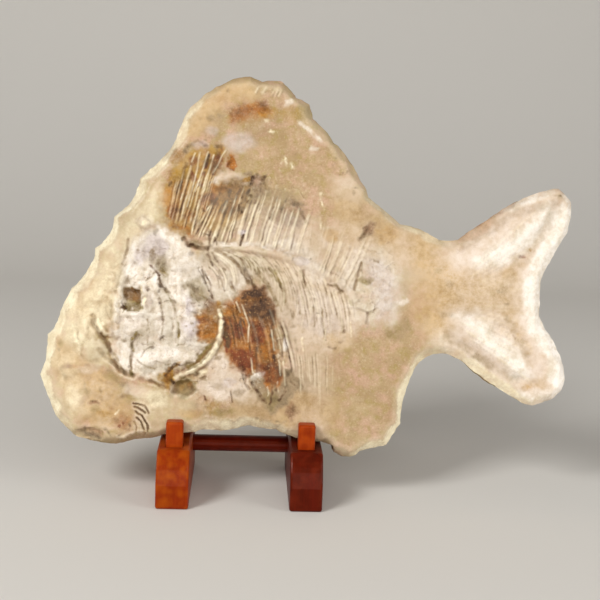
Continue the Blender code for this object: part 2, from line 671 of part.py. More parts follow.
def add_bar(bm, middle, radius, length):
    """A round bar along X."""
    turn = Matrix.Translation(Vector(middle) * MM) @ Matrix.Rotation(math.pi / 2, 4, 'Y')
    return bmesh.ops.create_cone(bm, cap_ends=True, segments=BAR_SIDES, radius1=radius * MM,
                                 radius2=radius * MM, depth=length * MM, matrix=turn)


def board_cutters(middle_x, inner_side):
    """The mortise and the blind socket of one board."""
    tag = "left" if inner_side > 0 else "right"
    mortise = bmesh.new()
    height = MORTISE_DEPTH + CUTTER_OVERSHOOT
    add_box(mortise, (middle_x, PEG_FRONT_Y + PEG_DEPTH / 2, LEDGE_Z - MORTISE_DEPTH + height / 2),
            (PEG_WIDTH + 2 * REST_GAP, PEG_DEPTH + 2 * REST_GAP, height))
    socket = bmesh.new()
    inner_face = middle_x + inner_side * BOARD_WIDTH / 2
    socket_x = inner_face + inner_side * (CUTTER_OVERSHOOT - SOCKET_DEPTH) / 2
    add_bar(socket, (socket_x, BAR_Y, BAR_Z), BAR_DIAMETER / 2 + REST_GAP,
            SOCKET_DEPTH + CUTTER_OVERSHOOT)
    return (make_cutter("mortise_cutter_" + tag, mortise),
            make_cutter("socket_cutter_" + tag, socket))


def build_peg(name, middle_x):
    """The peg that keeps the slab from sliding forward, set in the ledge."""
    bm = bmesh.new()
    bottom = LEDGE_Z - MORTISE_DEPTH + REST_GAP
    add_box(bm, (middle_x, PEG_FRONT_Y + PEG_DEPTH / 2, (PEG_TOP_Z + bottom) / 2),
            (PEG_WIDTH, PEG_DEPTH, PEG_TOP_Z - bottom))
    top = [edge for edge in bm.edges if sum(vert.co.z > LEDGE_Z * MM for vert in edge.verts)]
    bmesh.ops.bevel(bm, geom=top, offset=EDGE_ROUND * MM, segments=3, profile=0.5,
                    affect='EDGES')
    bmesh.ops.recalc_face_normals(bm, faces=bm.faces)
    peg = make_object(name, bm, make_material(name + "_varnished_wood", PEG_COLOUR, 0.3))
    peg.data.shade_smooth()
    peg.data.set_sharp_from_angle(angle=math.radians(50))
    return peg


def build_crossbar():
    """The round bar between the boards, its ends in the blind sockets."""
    bm = bmesh.new()
    inner_span = BOARD_SPACING - BOARD_WIDTH
    add_bar(bm, (0, BAR_Y, BAR_Z), BAR_DIAMETER / 2,
            inner_span + 2 * (SOCKET_DEPTH - REST_GAP))
    material = make_material("crossbar_varnished_wood", BAR_COLOUR, 0.3)
    bar = make_object("stand_crossbar", bm, material)
    bar.data.shade_smooth()
    bar.data.set_sharp_from_angle(angle=math.radians(40))
    return bar


def build_stand():
    """Two boards with their pegs, and the crossbar."""
    pieces = [build_crossbar()]
    for tag, sign in (("left", -1), ("right", 1)):
        middle_x = sign * BOARD_SPACING / 2
        pieces.append(build_board("stand_" + tag + "_side", middle_x, -sign))
        pieces.append(build_peg("stand_" + tag + "_lip", middle_x))
    return pieces


def centre_on_base(objects):
    """Move everything so that the origin is the bottom centre of the whole."""
    corners = []
    for obj in objects:
        corners += [obj.matrix_world @ vert.co for vert in obj.data.vertices]
    low_x = min(corner.x for corner in corners)
    high_x = max(corner.x for corner in corners)
    low_y = min(corner.y for corner in corners)
    high_y = max(corner.y for corner in corners)
    shift = Matrix.Translation((-(low_x + high_x) / 2, -(low_y + high_y) / 2, 0))
    for obj in list(bpy.context.scene.objects):
        obj.matrix_world = shift @ obj.matrix_world


def main():
    """Build the slab and its stand."""
    for obj in list(bpy.data.objects):
        bpy.data.objects.remove(obj, do_unlink=True)
    pieces = [build_slab()] + build_stand()
    bpy.context.view_layer.update()
    centre_on_base(pieces)


main()
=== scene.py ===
"""Looks of the fossil fish slab and of the varnished stand that holds it.

The stone is one closed mesh. Its front is a height field over the chipped outline, with the
skeleton as named creases, swellings and rows of spines. The minerals that colour it lie in
tables of stains, which become masks on the mesh and are mixed by one stone material.

Sizes are millimetres until a mesh is made. Slab coordinates: u runs right and v runs up
along the slab's face, and w comes out of it.
"""
import logging
import math
from dataclasses import dataclass
from enum import Enum

import bpy
import numpy as np
from mathutils import Matrix, Vector
from mathutils.geometry import delaunay_2d_cdt


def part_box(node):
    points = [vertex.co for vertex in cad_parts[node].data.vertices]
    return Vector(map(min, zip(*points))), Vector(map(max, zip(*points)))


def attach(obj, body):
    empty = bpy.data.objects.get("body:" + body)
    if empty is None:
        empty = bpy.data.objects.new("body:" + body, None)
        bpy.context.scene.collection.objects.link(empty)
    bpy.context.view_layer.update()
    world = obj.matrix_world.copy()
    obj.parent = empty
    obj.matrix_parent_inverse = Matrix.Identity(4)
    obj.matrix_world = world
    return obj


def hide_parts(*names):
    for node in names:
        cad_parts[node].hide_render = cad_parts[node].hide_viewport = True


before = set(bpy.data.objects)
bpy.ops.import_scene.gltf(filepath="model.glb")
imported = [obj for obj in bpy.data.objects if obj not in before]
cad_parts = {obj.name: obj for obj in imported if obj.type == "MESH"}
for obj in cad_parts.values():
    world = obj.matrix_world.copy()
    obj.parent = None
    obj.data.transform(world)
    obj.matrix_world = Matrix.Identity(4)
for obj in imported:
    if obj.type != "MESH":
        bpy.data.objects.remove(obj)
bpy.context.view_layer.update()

MM = 0.001
ROOT_BODY = "root"
Array = np.ndarray
Place = tuple[float, float]
Material = bpy.types.Material
Tree = bpy.types.NodeTree
Node = bpy.types.Node
Socket = bpy.types.NodeSocket
NOISE_RANGE = (0.33, 0.67)      # where most of a noise texture lies
PLATE_STRAY = 0.42              # of a broken plate's middle, as shares of its size
PLATE_RISE = 0.6
PLATE_TILT = 1.1
BREAK_WIDTH = 0.16
log = logging.getLogger("fossil_slab")


# ================================================================ colour and nodes
def linear(hex_colour: str) -> tuple[float, float, float, float]:
    """Turn an sRGB hex colour to linear RGBA.

    Args:
        hex_colour: the colour, such as "#C9AE84".

    Returns:
        Red, green, blue and alpha, linear.
    """
    parts = [int(hex_colour[place:place + 2], 16) / 255 for place in (1, 3, 5)]
    red, green, blue = [part / 12.92 if part <= 0.04045 else ((part + 0.055) / 1.055) ** 2.4
                        for part in parts]
    return red, green, blue, 1.0


def add_node(tree: Tree, kind: str, inputs: dict | None = None,
             **settings: object) -> Node:
    """Add a node, with its settings, its constants and its links.

    Args:
        tree: the node tree that gets it.
        kind: Blender's name of the node type, without "ShaderNode".
        inputs: for each input, by name or number, a constant or a socket to link from.
        **settings: properties of the node.

    Returns:
        The new node.
    """
    node = tree.nodes.new("ShaderNode" + kind)
    for name, value in settings.items():
        setattr(node, name, value)
    for name, value in (inputs or {}).items():
        if isinstance(value, Socket):
            tree.links.new(value, node.inputs[name])
        else:
            node.inputs[name].default_value = value
    return node


class MixSocket(Enum):
    """Numbers of the Mix node's sockets for colours."""
    FACTOR = 0
    FIRST = 6
    SECOND = 7
    RESULT = 2


def blend(tree: Tree, share: Socket | float, under: Socket | tuple, over: Socket | tuple,
          how: str = "MIX") -> Socket:
    """Mix two colours.

    Args:
        tree: the material's nodes.
        share: of the second colour.
        under: the first colour.
        over: the second colour.
        how: Blender's name of the blend.

    Returns:
        The mixed colour.
    """
    node = add_node(tree, "Mix", {MixSocket.FACTOR.value: share, MixSocket.FIRST.value: under,
                                  MixSocket.SECOND.value: over},
                    data_type="RGBA", blend_type=how)
    return node.outputs[MixSocket.RESULT.value]


def spread(tree: Tree, value: Socket, source: Place, low: float, high: float) -> Socket:
    """Spread values over another range, and clamp them to it.

    Args:
        tree: the material's nodes.
        value: what is spread.
        source: the range that it has.
        low: what the first end of that range becomes.
        high: what its second end becomes.

    Returns:
        The spread values.
    """
    node = add_node(tree, "MapRange", {"Value": value, "From Min": source[0],
                                       "From Max": source[1], "To Min": low, "To Max": high})
    return node.outputs[0]


def new_material(name: str) -> tuple[Material, Tree, Node]:
    """Start a node material.

    Args:
        name: the material's name.

    Returns:
        The material, its node tree and its Principled shader.
    """
    material = bpy.data.materials.new(name)
    material.use_nodes = True
    tree = material.node_tree
    return material, tree, tree.nodes["Principled BSDF"]


# ================================================================ noise and distances
def smooth_step(value: Array) -> Array:
    """Cubic ease from 0 to 1."""
    value = np.clip(value, 0.0, 1.0)
    return value * value * (3.0 - 2.0 * value)


def scatter(column: Array, row: Array, seed: float) -> Array:
    """Random value between -1 and 1 for each lattice corner.

    Args:
        column: number of each corner's column.
        row: number of each corner's row.
        seed: picks another pattern.

    Returns:
        One value for each corner.
    """
    wave = np.sin(column * 127.1 + row * 311.7 + seed * 74.7) * 43758.5453
    return (wave - np.floor(wave)) * 2.0 - 1.0


def lattice_noise(points: Array, cell: float, seed: float) -> Array:
    """Smooth noise between -1 and 1.

    Args:
        points: places, one row each.
        cell: size of one bump, in millimetres.
        seed: picks another pattern.

    Returns:
        One value for each point.
    """
    u = points[:, 0] / cell
    v = points[:, 1] / cell
    column = np.floor(u)
    row = np.floor(v)
    across = smooth_step(u - column)
    up = smooth_step(v - row)

    low = scatter(column, row, seed) * (1 - across) + scatter(column + 1, row, seed) * across
    high = (scatter(column, row + 1, seed) * (1 - across)
            + scatter(column + 1, row + 1, seed) * across)
    return low * (1 - up) + high * up


def flaked(points: Array, cell: float, seed: float) -> tuple[Array, Array]:
    """Surface of broken plates, each at its own height and tilt.

    Args:
        points: places, one row each.
        cell: size of a plate, in millimetres.
        seed: picks another pattern.

    Returns:
        Heights of about -1 to 1, and the breaks: 1 on a break and 0 on a plate.
    """
    place = points / cell
    base = np.floor(place)
    nearest = np.full(len(points), 9.0)
    second = np.full(len(points), 9.0)
    height = np.zeros(len(points))
    for i in (-1, 0, 1):
        for j in (-1, 0, 1):
            column, row = base[:, 0] + i, base[:, 1] + j
            du = place[:, 0] - column - 0.5 - PLATE_STRAY * scatter(column, row, seed)
            dv = place[:, 1] - row - 0.5 - PLATE_STRAY * scatter(column, row, seed + 1)
            gap = np.hypot(du, dv)
            level = PLATE_RISE * scatter(column, row, seed + 2)
            level += PLATE_TILT * (du * scatter(column, row, seed + 3)
                                   + dv * scatter(column, row, seed + 4))
            closer = gap < nearest
            second = np.where(closer, nearest, np.minimum(second, gap))
            height = np.where(closer, level, height)
            nearest = np.minimum(nearest, gap)
    return height, 1.0 - smooth_step((second - nearest) / BREAK_WIDTH)


def rough_surface(points: Array, layers: tuple) -> Array:
    """Several layers of noise added up.

    Args:
        points: places, one row each.
        layers: (depth, size of its bumps, seed) of each layer.

    Returns:
        One height for each point.
    """
    height = np.zeros(len(points))
    for depth, cell, seed in layers:
        height += depth * lattice_noise(points, cell, seed)
    return height


def segment_distance(points: Array, starts: Array, ends: Array) -> tuple[Array, Array]:
    """Distance from each point to the nearest of many segments.

    Args:
        points: places, one row each.
        starts: first end of each segment.
        ends: last end of each segment.

    Returns:
        The distances, and where on the line is nearest: the segment's number and a part.
    """
    best = np.full(len(points), 1e9)
    nearest = np.zeros(len(points))
    for index, (start, end) in enumerate(zip(starts, ends)):
        chord = end - start
        along = np.clip(((points - start) @ chord) / (chord @ chord), 0.0, 1.0)
        offset = points - start - along[:, None] * chord
        gap = np.hypot(offset[:, 0], offset[:, 1])
        closer = gap < best
        best[closer] = gap[closer]
        nearest[closer] = index + along[closer]
    return best, nearest


def inside_ring(points: Array, ring: Array) -> Array:
    """Even-odd test of points against a closed ring.

    Args:
        points: places, one row each.
        ring: the ring's corners.

    Returns:
        True for each point inside.
    """
    inside = np.zeros(len(points), bool)
    for (u0, v0), (u1, v1) in zip(ring, np.roll(ring, -1, axis=0)):
        crosses = (v0 > points[:, 1]) != (v1 > points[:, 1])
        if v1 != v0:
            cut = u0 + (points[:, 1] - v0) / (v1 - v0) * (u1 - u0)
            inside ^= crosses & (points[:, 0] < cut)
    return inside


def near_line(points: Array, line: Array, reach: float) -> Array:
    """Numbers of the points in a line's surroundings.

    Args:
        points: places, one row each.
        line: the line's corners.
        reach: how far out to look.

    Returns:
        Indices into points.
    """
    low = line.min(axis=0) - reach
    high = line.max(axis=0) + reach
    return np.flatnonzero(((points > low) & (points < high)).all(axis=1))


def resample(line: tuple | Array, step: float) -> Array:
    """Evenly spaced points along a line, both ends included.

    Args:
        line: its corners.
        step: wanted spacing.

    Returns:
        The points.
    """
    line = np.array(line, float)
    lengths = np.hypot(*np.diff(line, axis=0).T)
    reach = np.concatenate(([0.0], np.cumsum(lengths)))
    count = max(2, round(reach[-1] / step) + 1)
    where = np.linspace(0.0, reach[-1], count)
    return np.column_stack([np.interp(where, reach, line[:, axis]) for axis in (0, 1)])


def ridge_profile(distance: Array, half_width: float | Array) -> Array:
    """Rounded bump: 1 on the line, 0 at the half width."""
    return (1.0 - np.clip(distance / half_width, 0.0, 1.0) ** 2) ** 2


# ================================================================ the stone's minerals
class Tint(Enum):
    """Minerals that colour the stone, in the order in which they cover each other.

    Each has a lighter and a darker shade, between which it wanders.
    """
    BLUSH = ("#EAD8C6", "#DAC3A8")     # pinkish, smooth matrix of flank and tail
    WARM = ("#D3B489", "#BC9A69")      # iron-washed matrix
    CHALK = ("#FDF4E8", "#E2D4BE")     # powdery bone and its plaster-like film
    LILAC = ("#E4D8D4", "#BFB0AA")     # grey-violet film
    SHADE = ("#A28B6C", "#7D6A50")     # grey-brown darkening in patches and lines; beside the spines, painted shadow
    OLIVE = ("#96814C", "#72613A")     # greenish brown bone
    GOLD = ("#B98C3E", "#906822")      # honey-coloured scales
    AMBER = ("#B4702A", "#70400F")     # orange-brown bone
    RUST = ("#804224", "#4A2010")      # iron-red bone
    PLUM = ("#64462F", "#3D2A1E")      # purplish brown bone
    CREAM = ("#FFF3D2", "#EBD9B4")     # ribs, spines and the worked rim
    UMBER = ("#6A4D31", "#402D1C")     # open cracks and their dirt

    @property
    def layer(self) -> str:
        """Name of the mask on the mesh."""
        return self.name.lower()


def pairs(numbers: tuple | list) -> tuple[Place, ...]:
    """Points, from their u and v in turn."""
    return tuple(zip(numbers[::2], numbers[1::2]))


@dataclass(frozen=True)
class Stain:
    """A stain on the stone.

    Attributes:
        tint: its mineral.
        strength: how much it covers, 0 to 1.
    """
    tint: Tint
    strength: float

    @classmethod
    def table(cls, rows: dict[Tint, tuple]) -> list["Stain"]:
        """Make stains of one kind.

        Args:
            rows: by tint, rows of percent and what read takes.

        Returns:
            One stain for each row.
        """
        return [cls(tint, percent / 100, *cls.read(*numbers))
                for tint, group in rows.items() for percent, *numbers in group]


@dataclass(frozen=True)
class Area(Stain):
    """A stained patch with a soft edge.

    Attributes:
        soft: width of its edge.
        corners: its outline.
    """
    soft: float
    corners: tuple

    @staticmethod
    def read(soft: float, *corners: float) -> tuple:
        """Edge and corners from a row's numbers."""
        return soft, pairs(corners)

    def cover(self, points: Array) -> tuple[Array, Array]:
        """Find what the patch covers.

        Args:
            points: places, one row each.

        Returns:
            Indices of the points it reaches, and how much it covers each.
        """
        ring = np.array(self.corners, float)
        found = near_line(points, ring, self.soft)
        near = points[found]
        gap, _ = segment_distance(near, ring, np.roll(ring, -1, axis=0))
        depth = np.where(inside_ring(near, ring), gap, -gap)
        return found, self.strength * smooth_step(0.5 + 0.5 * depth / self.soft)


@dataclass(frozen=True)
class Stroke(Stain):
    """A stained line with soft sides.

    Attributes:
        half_width: from its middle to where it ends.
        line: the points it runs through.
    """
    half_width: float
    line: tuple

    @staticmethod
    def read(half_width: float, *line: float) -> tuple:
        """Half width and line from a row's numbers."""
        return half_width, pairs(line)

    def cover(self, points: Array) -> tuple[Array, Array]:
        """Find what the line covers; see Area.cover."""
        line = np.array(self.line, float)
        reach = 1.35 * self.half_width
        found = near_line(points, line, reach)
        near = points[found]
        gap, _ = segment_distance(near, line[:-1], line[1:])
        ragged = min(1.0, 1.8 / self.half_width)
        broken = 0.85 + ragged * (0.75 * lattice_noise(near, 2.1, self.half_width) - 0.15)
        return found, self.strength * broken * smooth_step(1.4 * (1.0 - gap / reach))


@dataclass(frozen=True)
class Spot(Stain):
    """An oval stain.

    Attributes:
        middle: its place.
        half_size: half its length and half its width.
        turn: degrees from level, anticlockwise.
    """
    middle: Place
    half_size: Place
    turn: float = 0.0

    @staticmethod
    def read(u: float, v: float, half_long: float, half_wide: float, turn: float = 0.0) -> tuple:
        """Middle, size and turn from a row's numbers."""
        return (u, v), (half_long, half_wide), turn

    def cover(self, points: Array) -> tuple[Array, Array]:
        """Find what the oval covers; see Area.cover."""
        reach = 1.3 * max(self.half_size)
        found = near_line(points, np.array([self.middle]), reach)
        radius = oval_radius(points[found], *self.middle, *self.half_size, self.turn)
        return found, self.strength * smooth_step(1.5 * (1.25 - radius))


def oval_radius(points: Array, u: float, v: float, half_long: float, half_wide: float,
                turn: float, power: float = 2.0) -> Array:
    """Distance from an oval's middle, 1 on its edge.

    Args:
        points: places, one row each.
        u: the middle's place across.
        v: the middle's place up.
        half_long: half its length.
        half_wide: half its width.
        turn: degrees from level, anticlockwise.
        power: 2 for an oval; more makes it squarer.

    Returns:
        One distance for each point.
    """
    angle = math.radians(turn)
    du = points[:, 0] - u
    dv = points[:, 1] - v
    along = (du * math.cos(angle) + dv * math.sin(angle)) / half_long
    across = (dv * math.cos(angle) - du * math.sin(angle)) / half_wide
    return (abs(along) ** power + abs(across) ** power) ** (1 / power)


# Areas: percent, width of the edge, then u and v of each corner
AREAS: dict[Tint, tuple] = {}
AREAS[Tint.BLUSH] = (
    (50, 3.6, 19,156, 32,157, 38,148, 36,140, 44,136, 40,130, 27,136, 21,146), (60, 3, -51,160,
    -39,160, -31,156, -39,157, -50,154), (70, 4, 10,104, 14,120, 20,130, 30,131, 45,130, 41,113,
    31,98), (40, 4, 0,112, 2,130, 12,132, 18,118, 12,104), (30, 3, -38,134, -22,141, -4,136, 2,122,
    -6,115, -34,119), (80, 4, -29,114, -6,107, 18,98, 30,90, 33,72, 29,57, 14,54, 0,58, -10,70,
    -14,78, -22,93), (50, 7, -9,66, 10,57, 16,53, 14,24, 12,4, -2,2, -6,25), (40, 3.6, -22,130,
    1,135, 8,124, -2,117, -18,120), (75, 4, -56,48, -50,56, -45,55, -41,46, -35,42, -32,34, -28,29,
    -27,24, -34,24, -46,26, -54,28, -61,33, -60,36, -55,39), (50, 2.4, -103,76, -95,77.5, -92,72,
    -97,66, -104,68), (60, 3.5, -136,34, -126,40, -112,36, -108,27, -118,22, -132,24), (40, 3,
    -2,18, 10,18, 12,6, 1,8), (30, 8, 54,118, 74,118, 92,110, 94,92, 86,80, 66,84, 60,98), (40, 6,
    74,110, 90,112, 96,104, 84,98, 76,100), (50, 6, 72,66, 88,68, 96,60, 88,52, 76,56), (60, 6,
    50,122, 64,124, 78,114, 74,104, 60,104, 52,110), (100, 7.1, 83,112, 96,116, 120,132, 151,144,
    161,142, 156,120, 144,100, 141,78, 146,60, 156,42, 153,26, 136,22, 106,40, 88,53, 82,62),
)
AREAS[Tint.WARM] = (
    (20, 7, -18,107, 0,124, 28,124, 31,90, 27,57, 16,18, -8,20, 0,58, -12,84), (50, 8, 20,151,
    32,148, 61,126, 84,119, 74,105, 48,109, 24,119), (60, 7, -36,27, -1,29, 22,24, 21,9, -37,7),
    (60, 6, 67,123, 82,123, 79,102, 67,102), (70, 4.7, -66,188, -57,204, -42,212, -28,215, -23,206,
    -36,203, -44,197, -54,186, -64,180, -68,180), (50, 3, -135,84, -122,99, -112,97, -111,84,
    -121,76, -133,76), (70, 4.7, -141,66, -132,57, -112,42, -106,30, -100,21, -102,11, -118,11,
    -130,16, -138,28, -144,40, -146,52), (50, 3, -42,24, -30,23, -20,17, -31,16, -42,18), (60, 8,
    78,96, 90,102, 104,98, 116,97, 126,98, 132,90, 131,80, 125,72, 112,73, 98,76, 88,64, 78,66),
    (50, 5.9, 71,112, 87,112, 92,88, 86,62, 71,59, 66,83),
)
AREAS[Tint.CHALK] = (
    (12, 4, -56,127, -40,131, -22,128, -5,121, 10,114, 24,101, 31,90, 18,98, 0,106, -18,113,
    -41,117, -58,116), (42, 3.5, -58,116, -40,115, -26,112, -22,104, -30,94, -38,88, -50,84,
    -58,92), (40, 3, -16,118, -6,120, 2,116, 14,106, 18,100, 13,93, 5,97, -2,106, -9,110), (95,
    1.2, -29,41, -25.5,43, -22.5,41.5, -22,35.5, -24.5,31.5, -28,34, -30,37.5), (12, 3, -56,48,
    -50,56, -45,55, -41,46, -35,42, -32,34, -28,29, -27,24, -34,24, -46,26, -54,28, -61,33, -60,36,
    -55,39), (80, 3.6, -110,73, -107,86, -107,94, -104,104, -102,112, -98,121, -92,126, -84,129,
    -76,126, -68,120, -64,114, -56,110, -56,96, -53,85, -62,76, -62,64, -54,58, -62,50, -72,44,
    -80,44, -86,40, -96,41, -104,44, -109,56, -110,65), (100, 1.2, -107,63.5, -101.5,63.5,
    -100.5,56.5, -100.5,45.5, -103,43.5, -106,48, -108,56.5), (32, 4.7, 27,106, 36,118, 47,119,
    55,109, 60,101, 62,83, 59,74, 53,68, 42,66, 30,70, 28,80, 31,90, 34,96), (40, 2.4, 20.5,101.5,
    30,102.5, 32,94, 28.5,88, 21.5,92), (100, 5, 104,105, 120,114, 136,125, 151,138, 156,134,
    147,121, 134,111, 119,102), (95, 5, 92,73, 104,63, 118,48, 129,34, 137,36, 130,50, 118,62,
    104,74), (100, 3, 160,140, 153,128, 143,112, 137,97, 134,84, 134,72, 140,58, 149,43, 150,30,
    158,26, 161,42, 147,72, 150,98, 168,130),
)
AREAS[Tint.LILAC] = (
    (30, 3, -5,95, 12,88, 24,80, 24,62, 8,64, -2,74), (75, 3, -68,85, -64,86, -62,80, -64,76,
    -68,77), (85, 3, -69,72, -62,74, -61,68, -64,61, -68,61), (80, 2.4, -90,122, -83,124, -77,119,
    -79,111, -86,108, -92,113), (60, 2, -98,113, -93,116, -90,110, -94,105.5, -98.5,108), (40, 4.7,
    40,106, 48,107, 55,98, 57,83, 53,74, 47,72, 46,83, 42,95),
)
AREAS[Tint.SHADE] = (
    (18, 7, -18,107, 0,124, 28,124, 31,90, 27,57, 16,18, -8,20, 0,58, -12,84), (13, 8, 20,151,
    32,148, 61,126, 84,119, 74,105, 48,109, 24,119), (12, 7, -36,27, -1,29, 22,24, 21,9, -37,7),
    (30, 5, -42,113, -18,112, -17,101, -40,100), (26, 5, -19,94, -5,93, -4,57, -14,57), (25, 5,
    -17,44, 7,43, 6,29, -17,30), (24, 6, -41,27, -16,26, -16,6, -41,7), (16, 6, 22,145, 37,145,
    45,129, 27,130), (12, 5, 27,113, 47,112, 45,100, 27,100), (12, 5, -75,114, -52,114, -53,102,
    -75,103), (12, 5, -77,66, -54,66, -55,55, -77,56), (16, 4, -52,89, -40,89, -41,80, -51,80), (9,
    8, 90,76, 113,77, 113,64, 90,63), (18, 6, -114,77, -88,72, -83,59, -106,57), (75, 1.2,
    40.5,128.5, 45,129, 44.5,123.5, 41.5,121.5, 38.5,118.5, 36,118, 35,119.5, 38,123), (40, 2.4,
    -57.5,114.5, -50.5,113, -47,107, -51.5,105, -57,107), (80, 2, -31,38, -22,40, -9,40, -3,42,
    -1.5,33, -6,27, -11,22, -17.5,16.5, -24,22, -28,29), (55, 1.8, -21,30, -13,30, -7,31, -9.5,24,
    -15.5,19.5, -20,23), (85, 1.2, -9.5,44.5, -5,44.5, -1.5,37.5, -1,33, -5,35, -9,36.5), (40, 2.4,
    -66.5,91, -59,93.5, -53.5,87, -57.5,81.5, -63.5,83), (14, 4, -55,46, -46,50, -38,42, -30,30,
    -44,28, -58,34), (60, 1.2, -86,116, -84,114.5, -84.5,110, -86,106, -88.5,108.5, -88,113.5),
    (40, 1.8, -84,110, -79,111.5, -77.5,106.5, -78.5,100.5, -82,101, -86,105.5), (30, 2.4,
    -71.5,104, -64.5,107.5, -58.5,102.5, -56.5,94.5, -64.5,94.5), (10, 3, -97,71, -88,74, -82,66,
    -88,60, -96,62), (28, 2, -99,66, -93,68, -90,62, -93,54, -97.5,55), (35, 1.8, -107,104,
    -103,106, -100,99, -104,92, -108,94), (25, 2.4, -92,126, -84,127, -78,122, -78,108, -86,104,
    -93,112), (15, 3, -126,64, -119,66, -114,60, -114,54, -119,52, -124,56), (85, 1.2, -133.5,11,
    -125,10.5, -119.5,8, -115.5,4, -121,3.5, -127,8), (30, 2.4, 54.5,70, 64,71, 65,65, 59,58.5,
    52,61.5), (20, 8, 84,92, 104,94, 124,92, 130,84, 122,75, 100,78, 86,72),
)
AREAS[Tint.OLIVE] = (
    (20, 3, -36,113, -22,112, -6,93, -9,77, -22,90, -32,104), (70, 1.8, -72.5,164, -68.5,164,
    -63.5,164.5, -64,160.5, -66,156, -72,154.5, -74,157.5), (40, 2, -24,27, -17,29, -12,25,
    -17,18.5, -22,21), (65, 1.8, -23.5,64.5, -17,65.5, -16.5,57.5, -17.5,49, -21,44, -24.5,48,
    -25.5,55), (90, 1.3, -50.5,62, -54,58.5, -63,51.5, -68,47.5, -70,45, -66,43.5, -61.5,45.5,
    -56.5,49.5, -52,55), (75, 1.8, -75,36, -72.5,39, -69,39.5, -65,39, -62.5,35.5, -63.5,31.5,
    -67,28.5, -70,27.5, -73.5,30, -75,33), (75, 0.7, -104.5,92.5, -92.8,92.5, -92.5,79.3,
    -104.5,79.3), (40, 1.2, -80.5,105, -77.5,105, -78,97, -80.5,94.5), (42, 2.4, -84,109, -79,112,
    -74.5,107, -75,99, -79,96, -83,101), (20, 3, -91,89, -86,90, -84,78, -86,66, -91,66, -93,78),
    (16, 3, -79,88, -74,84, -72,72, -74,58, -79,60, -80,74), (50, 2.4, -69,96, -60,98, -55,91,
    -55,84, -60,82, -66,87), (35, 2.4, -93,47, -82,50, -72,50, -76,45.5, -86,42.5, -94,42.5), (15,
    3, -131,62, -122,64, -116,56, -120,50, -130,52),
)
AREAS[Tint.GOLD] = (
    (30, 2.4, 47,126, 55.5,127, 60,121, 54,116.5, 48,119), (55, 1.8, -81.5,149, -79.5,152.5,
    -77,156, -72,165, -68.5,167.5, -65,171.5, -61,173.5, -56.5,174.5, -53,175.5, -49.5,174.5,
    -46.5,176.5, -43.5,173.5, -45,167.5, -46.5,163, -49.5,158.5, -52.5,155.5, -54.5,151.5,
    -58,148.5, -60.5,145.5, -59.5,141, -62.5,135.5, -64,131, -63,125, -66.5,124.5, -71.5,127,
    -76,128, -78.5,132.5, -79,138, -81.5,142), (50, 1.8, -52.5,151, -49,153.5, -45,153.5, -42,151,
    -45,148, -51,148.5), (55, 3, -60,147, -49,151, -40,155, -29,152, -30,138, -44,128, -60,126),
    (75, 1.2, -33.5,86, -22.5,86, -22,83.5, -29.5,83, -33.5,84.5), (45, 1.8, -45,81, -40.5,82,
    -37,80, -34,75, -31,71.5, -33.5,70.5, -38,71.5, -42.5,75, -45,78), (45, 1.8, -60.5,75.5,
    -55.5,75.5, -51,74, -48.5,72, -49.5,65.5, -52.5,61, -59.5,61.5, -61.5,65, -61,71), (85, 1.2,
    -83,38.5, -80.5,42, -77,45.5, -73,47.5, -71.5,47, -75,43.5, -75,38, -77,33.5, -79.5,32.5,
    -81,35), (40, 2.4, -56,26, -50.5,25.5, -49,21.5, -54,18.5),
)
AREAS[Tint.AMBER] = (
    (50, 2.4, -40,196, -36,199.5, -30,201.5, -24,202.5, -19.5,201.5, -17,198, -17,194.5,
    -20.5,192.5, -26.5,193.5, -30,193, -34,190.5, -37.5,189, -39.5,190, -38.5,193), (35, 2.4,
    -74,154.5, -66,156, -65,150, -67.5,145, -72.5,141, -76,135.5, -78,137, -80.5,141, -81.5,145.5,
    -81,149, -77.5,151), (100, 1.2, -42.5,168, -40,171, -37,168.5, -36.5,164.5, -39.5,161.5,
    -43,162.5), (60, 1.8, -77,140.5, -72.5,141, -72,136.5, -73.5,131.5, -77,133, -78,137), (65,
    1.8, -67,138, -63,139, -62.5,134.5, -65.5,130, -67.5,132), (60, 1.8, -52.5,151, -49,153.5,
    -45,153.5, -42,151, -45,148, -51,148.5), (35, 2.6, -57,146, -49,150, -38,154, -31,148, -34,138,
    -44,133, -56,133), (70, 1.8, -46,83.5, -40,86, -35,90.5, -30.5,92.5, -26,93, -22.5,91.5,
    -19,86, -15.5,82.5, -14,77, -13.5,71, -16,66.5, -14.5,57.5, -13.5,49, -11,42.5, -11.5,37,
    -14,31.5, -16.5,35, -19,30, -22,34.5, -23.5,41, -29,43, -33,39, -36,43.5, -40,46.5, -42,50.5,
    -44,55, -46.5,61, -46.5,68, -44,74, -46,80), (60, 1.8, -60.5,75.5, -55.5,75.5, -51,74,
    -48.5,72, -49.5,65.5, -52.5,61, -59.5,61.5, -61.5,65, -61,71), (30, 1.8, -56,85, -49.5,84.5,
    -48,77.5, -52,74, -57,76.5), (35, 2.4, -111,17, -105.5,19.5, -100,17, -100.5,12, -104.5,9.5,
    -110,11.5),
)
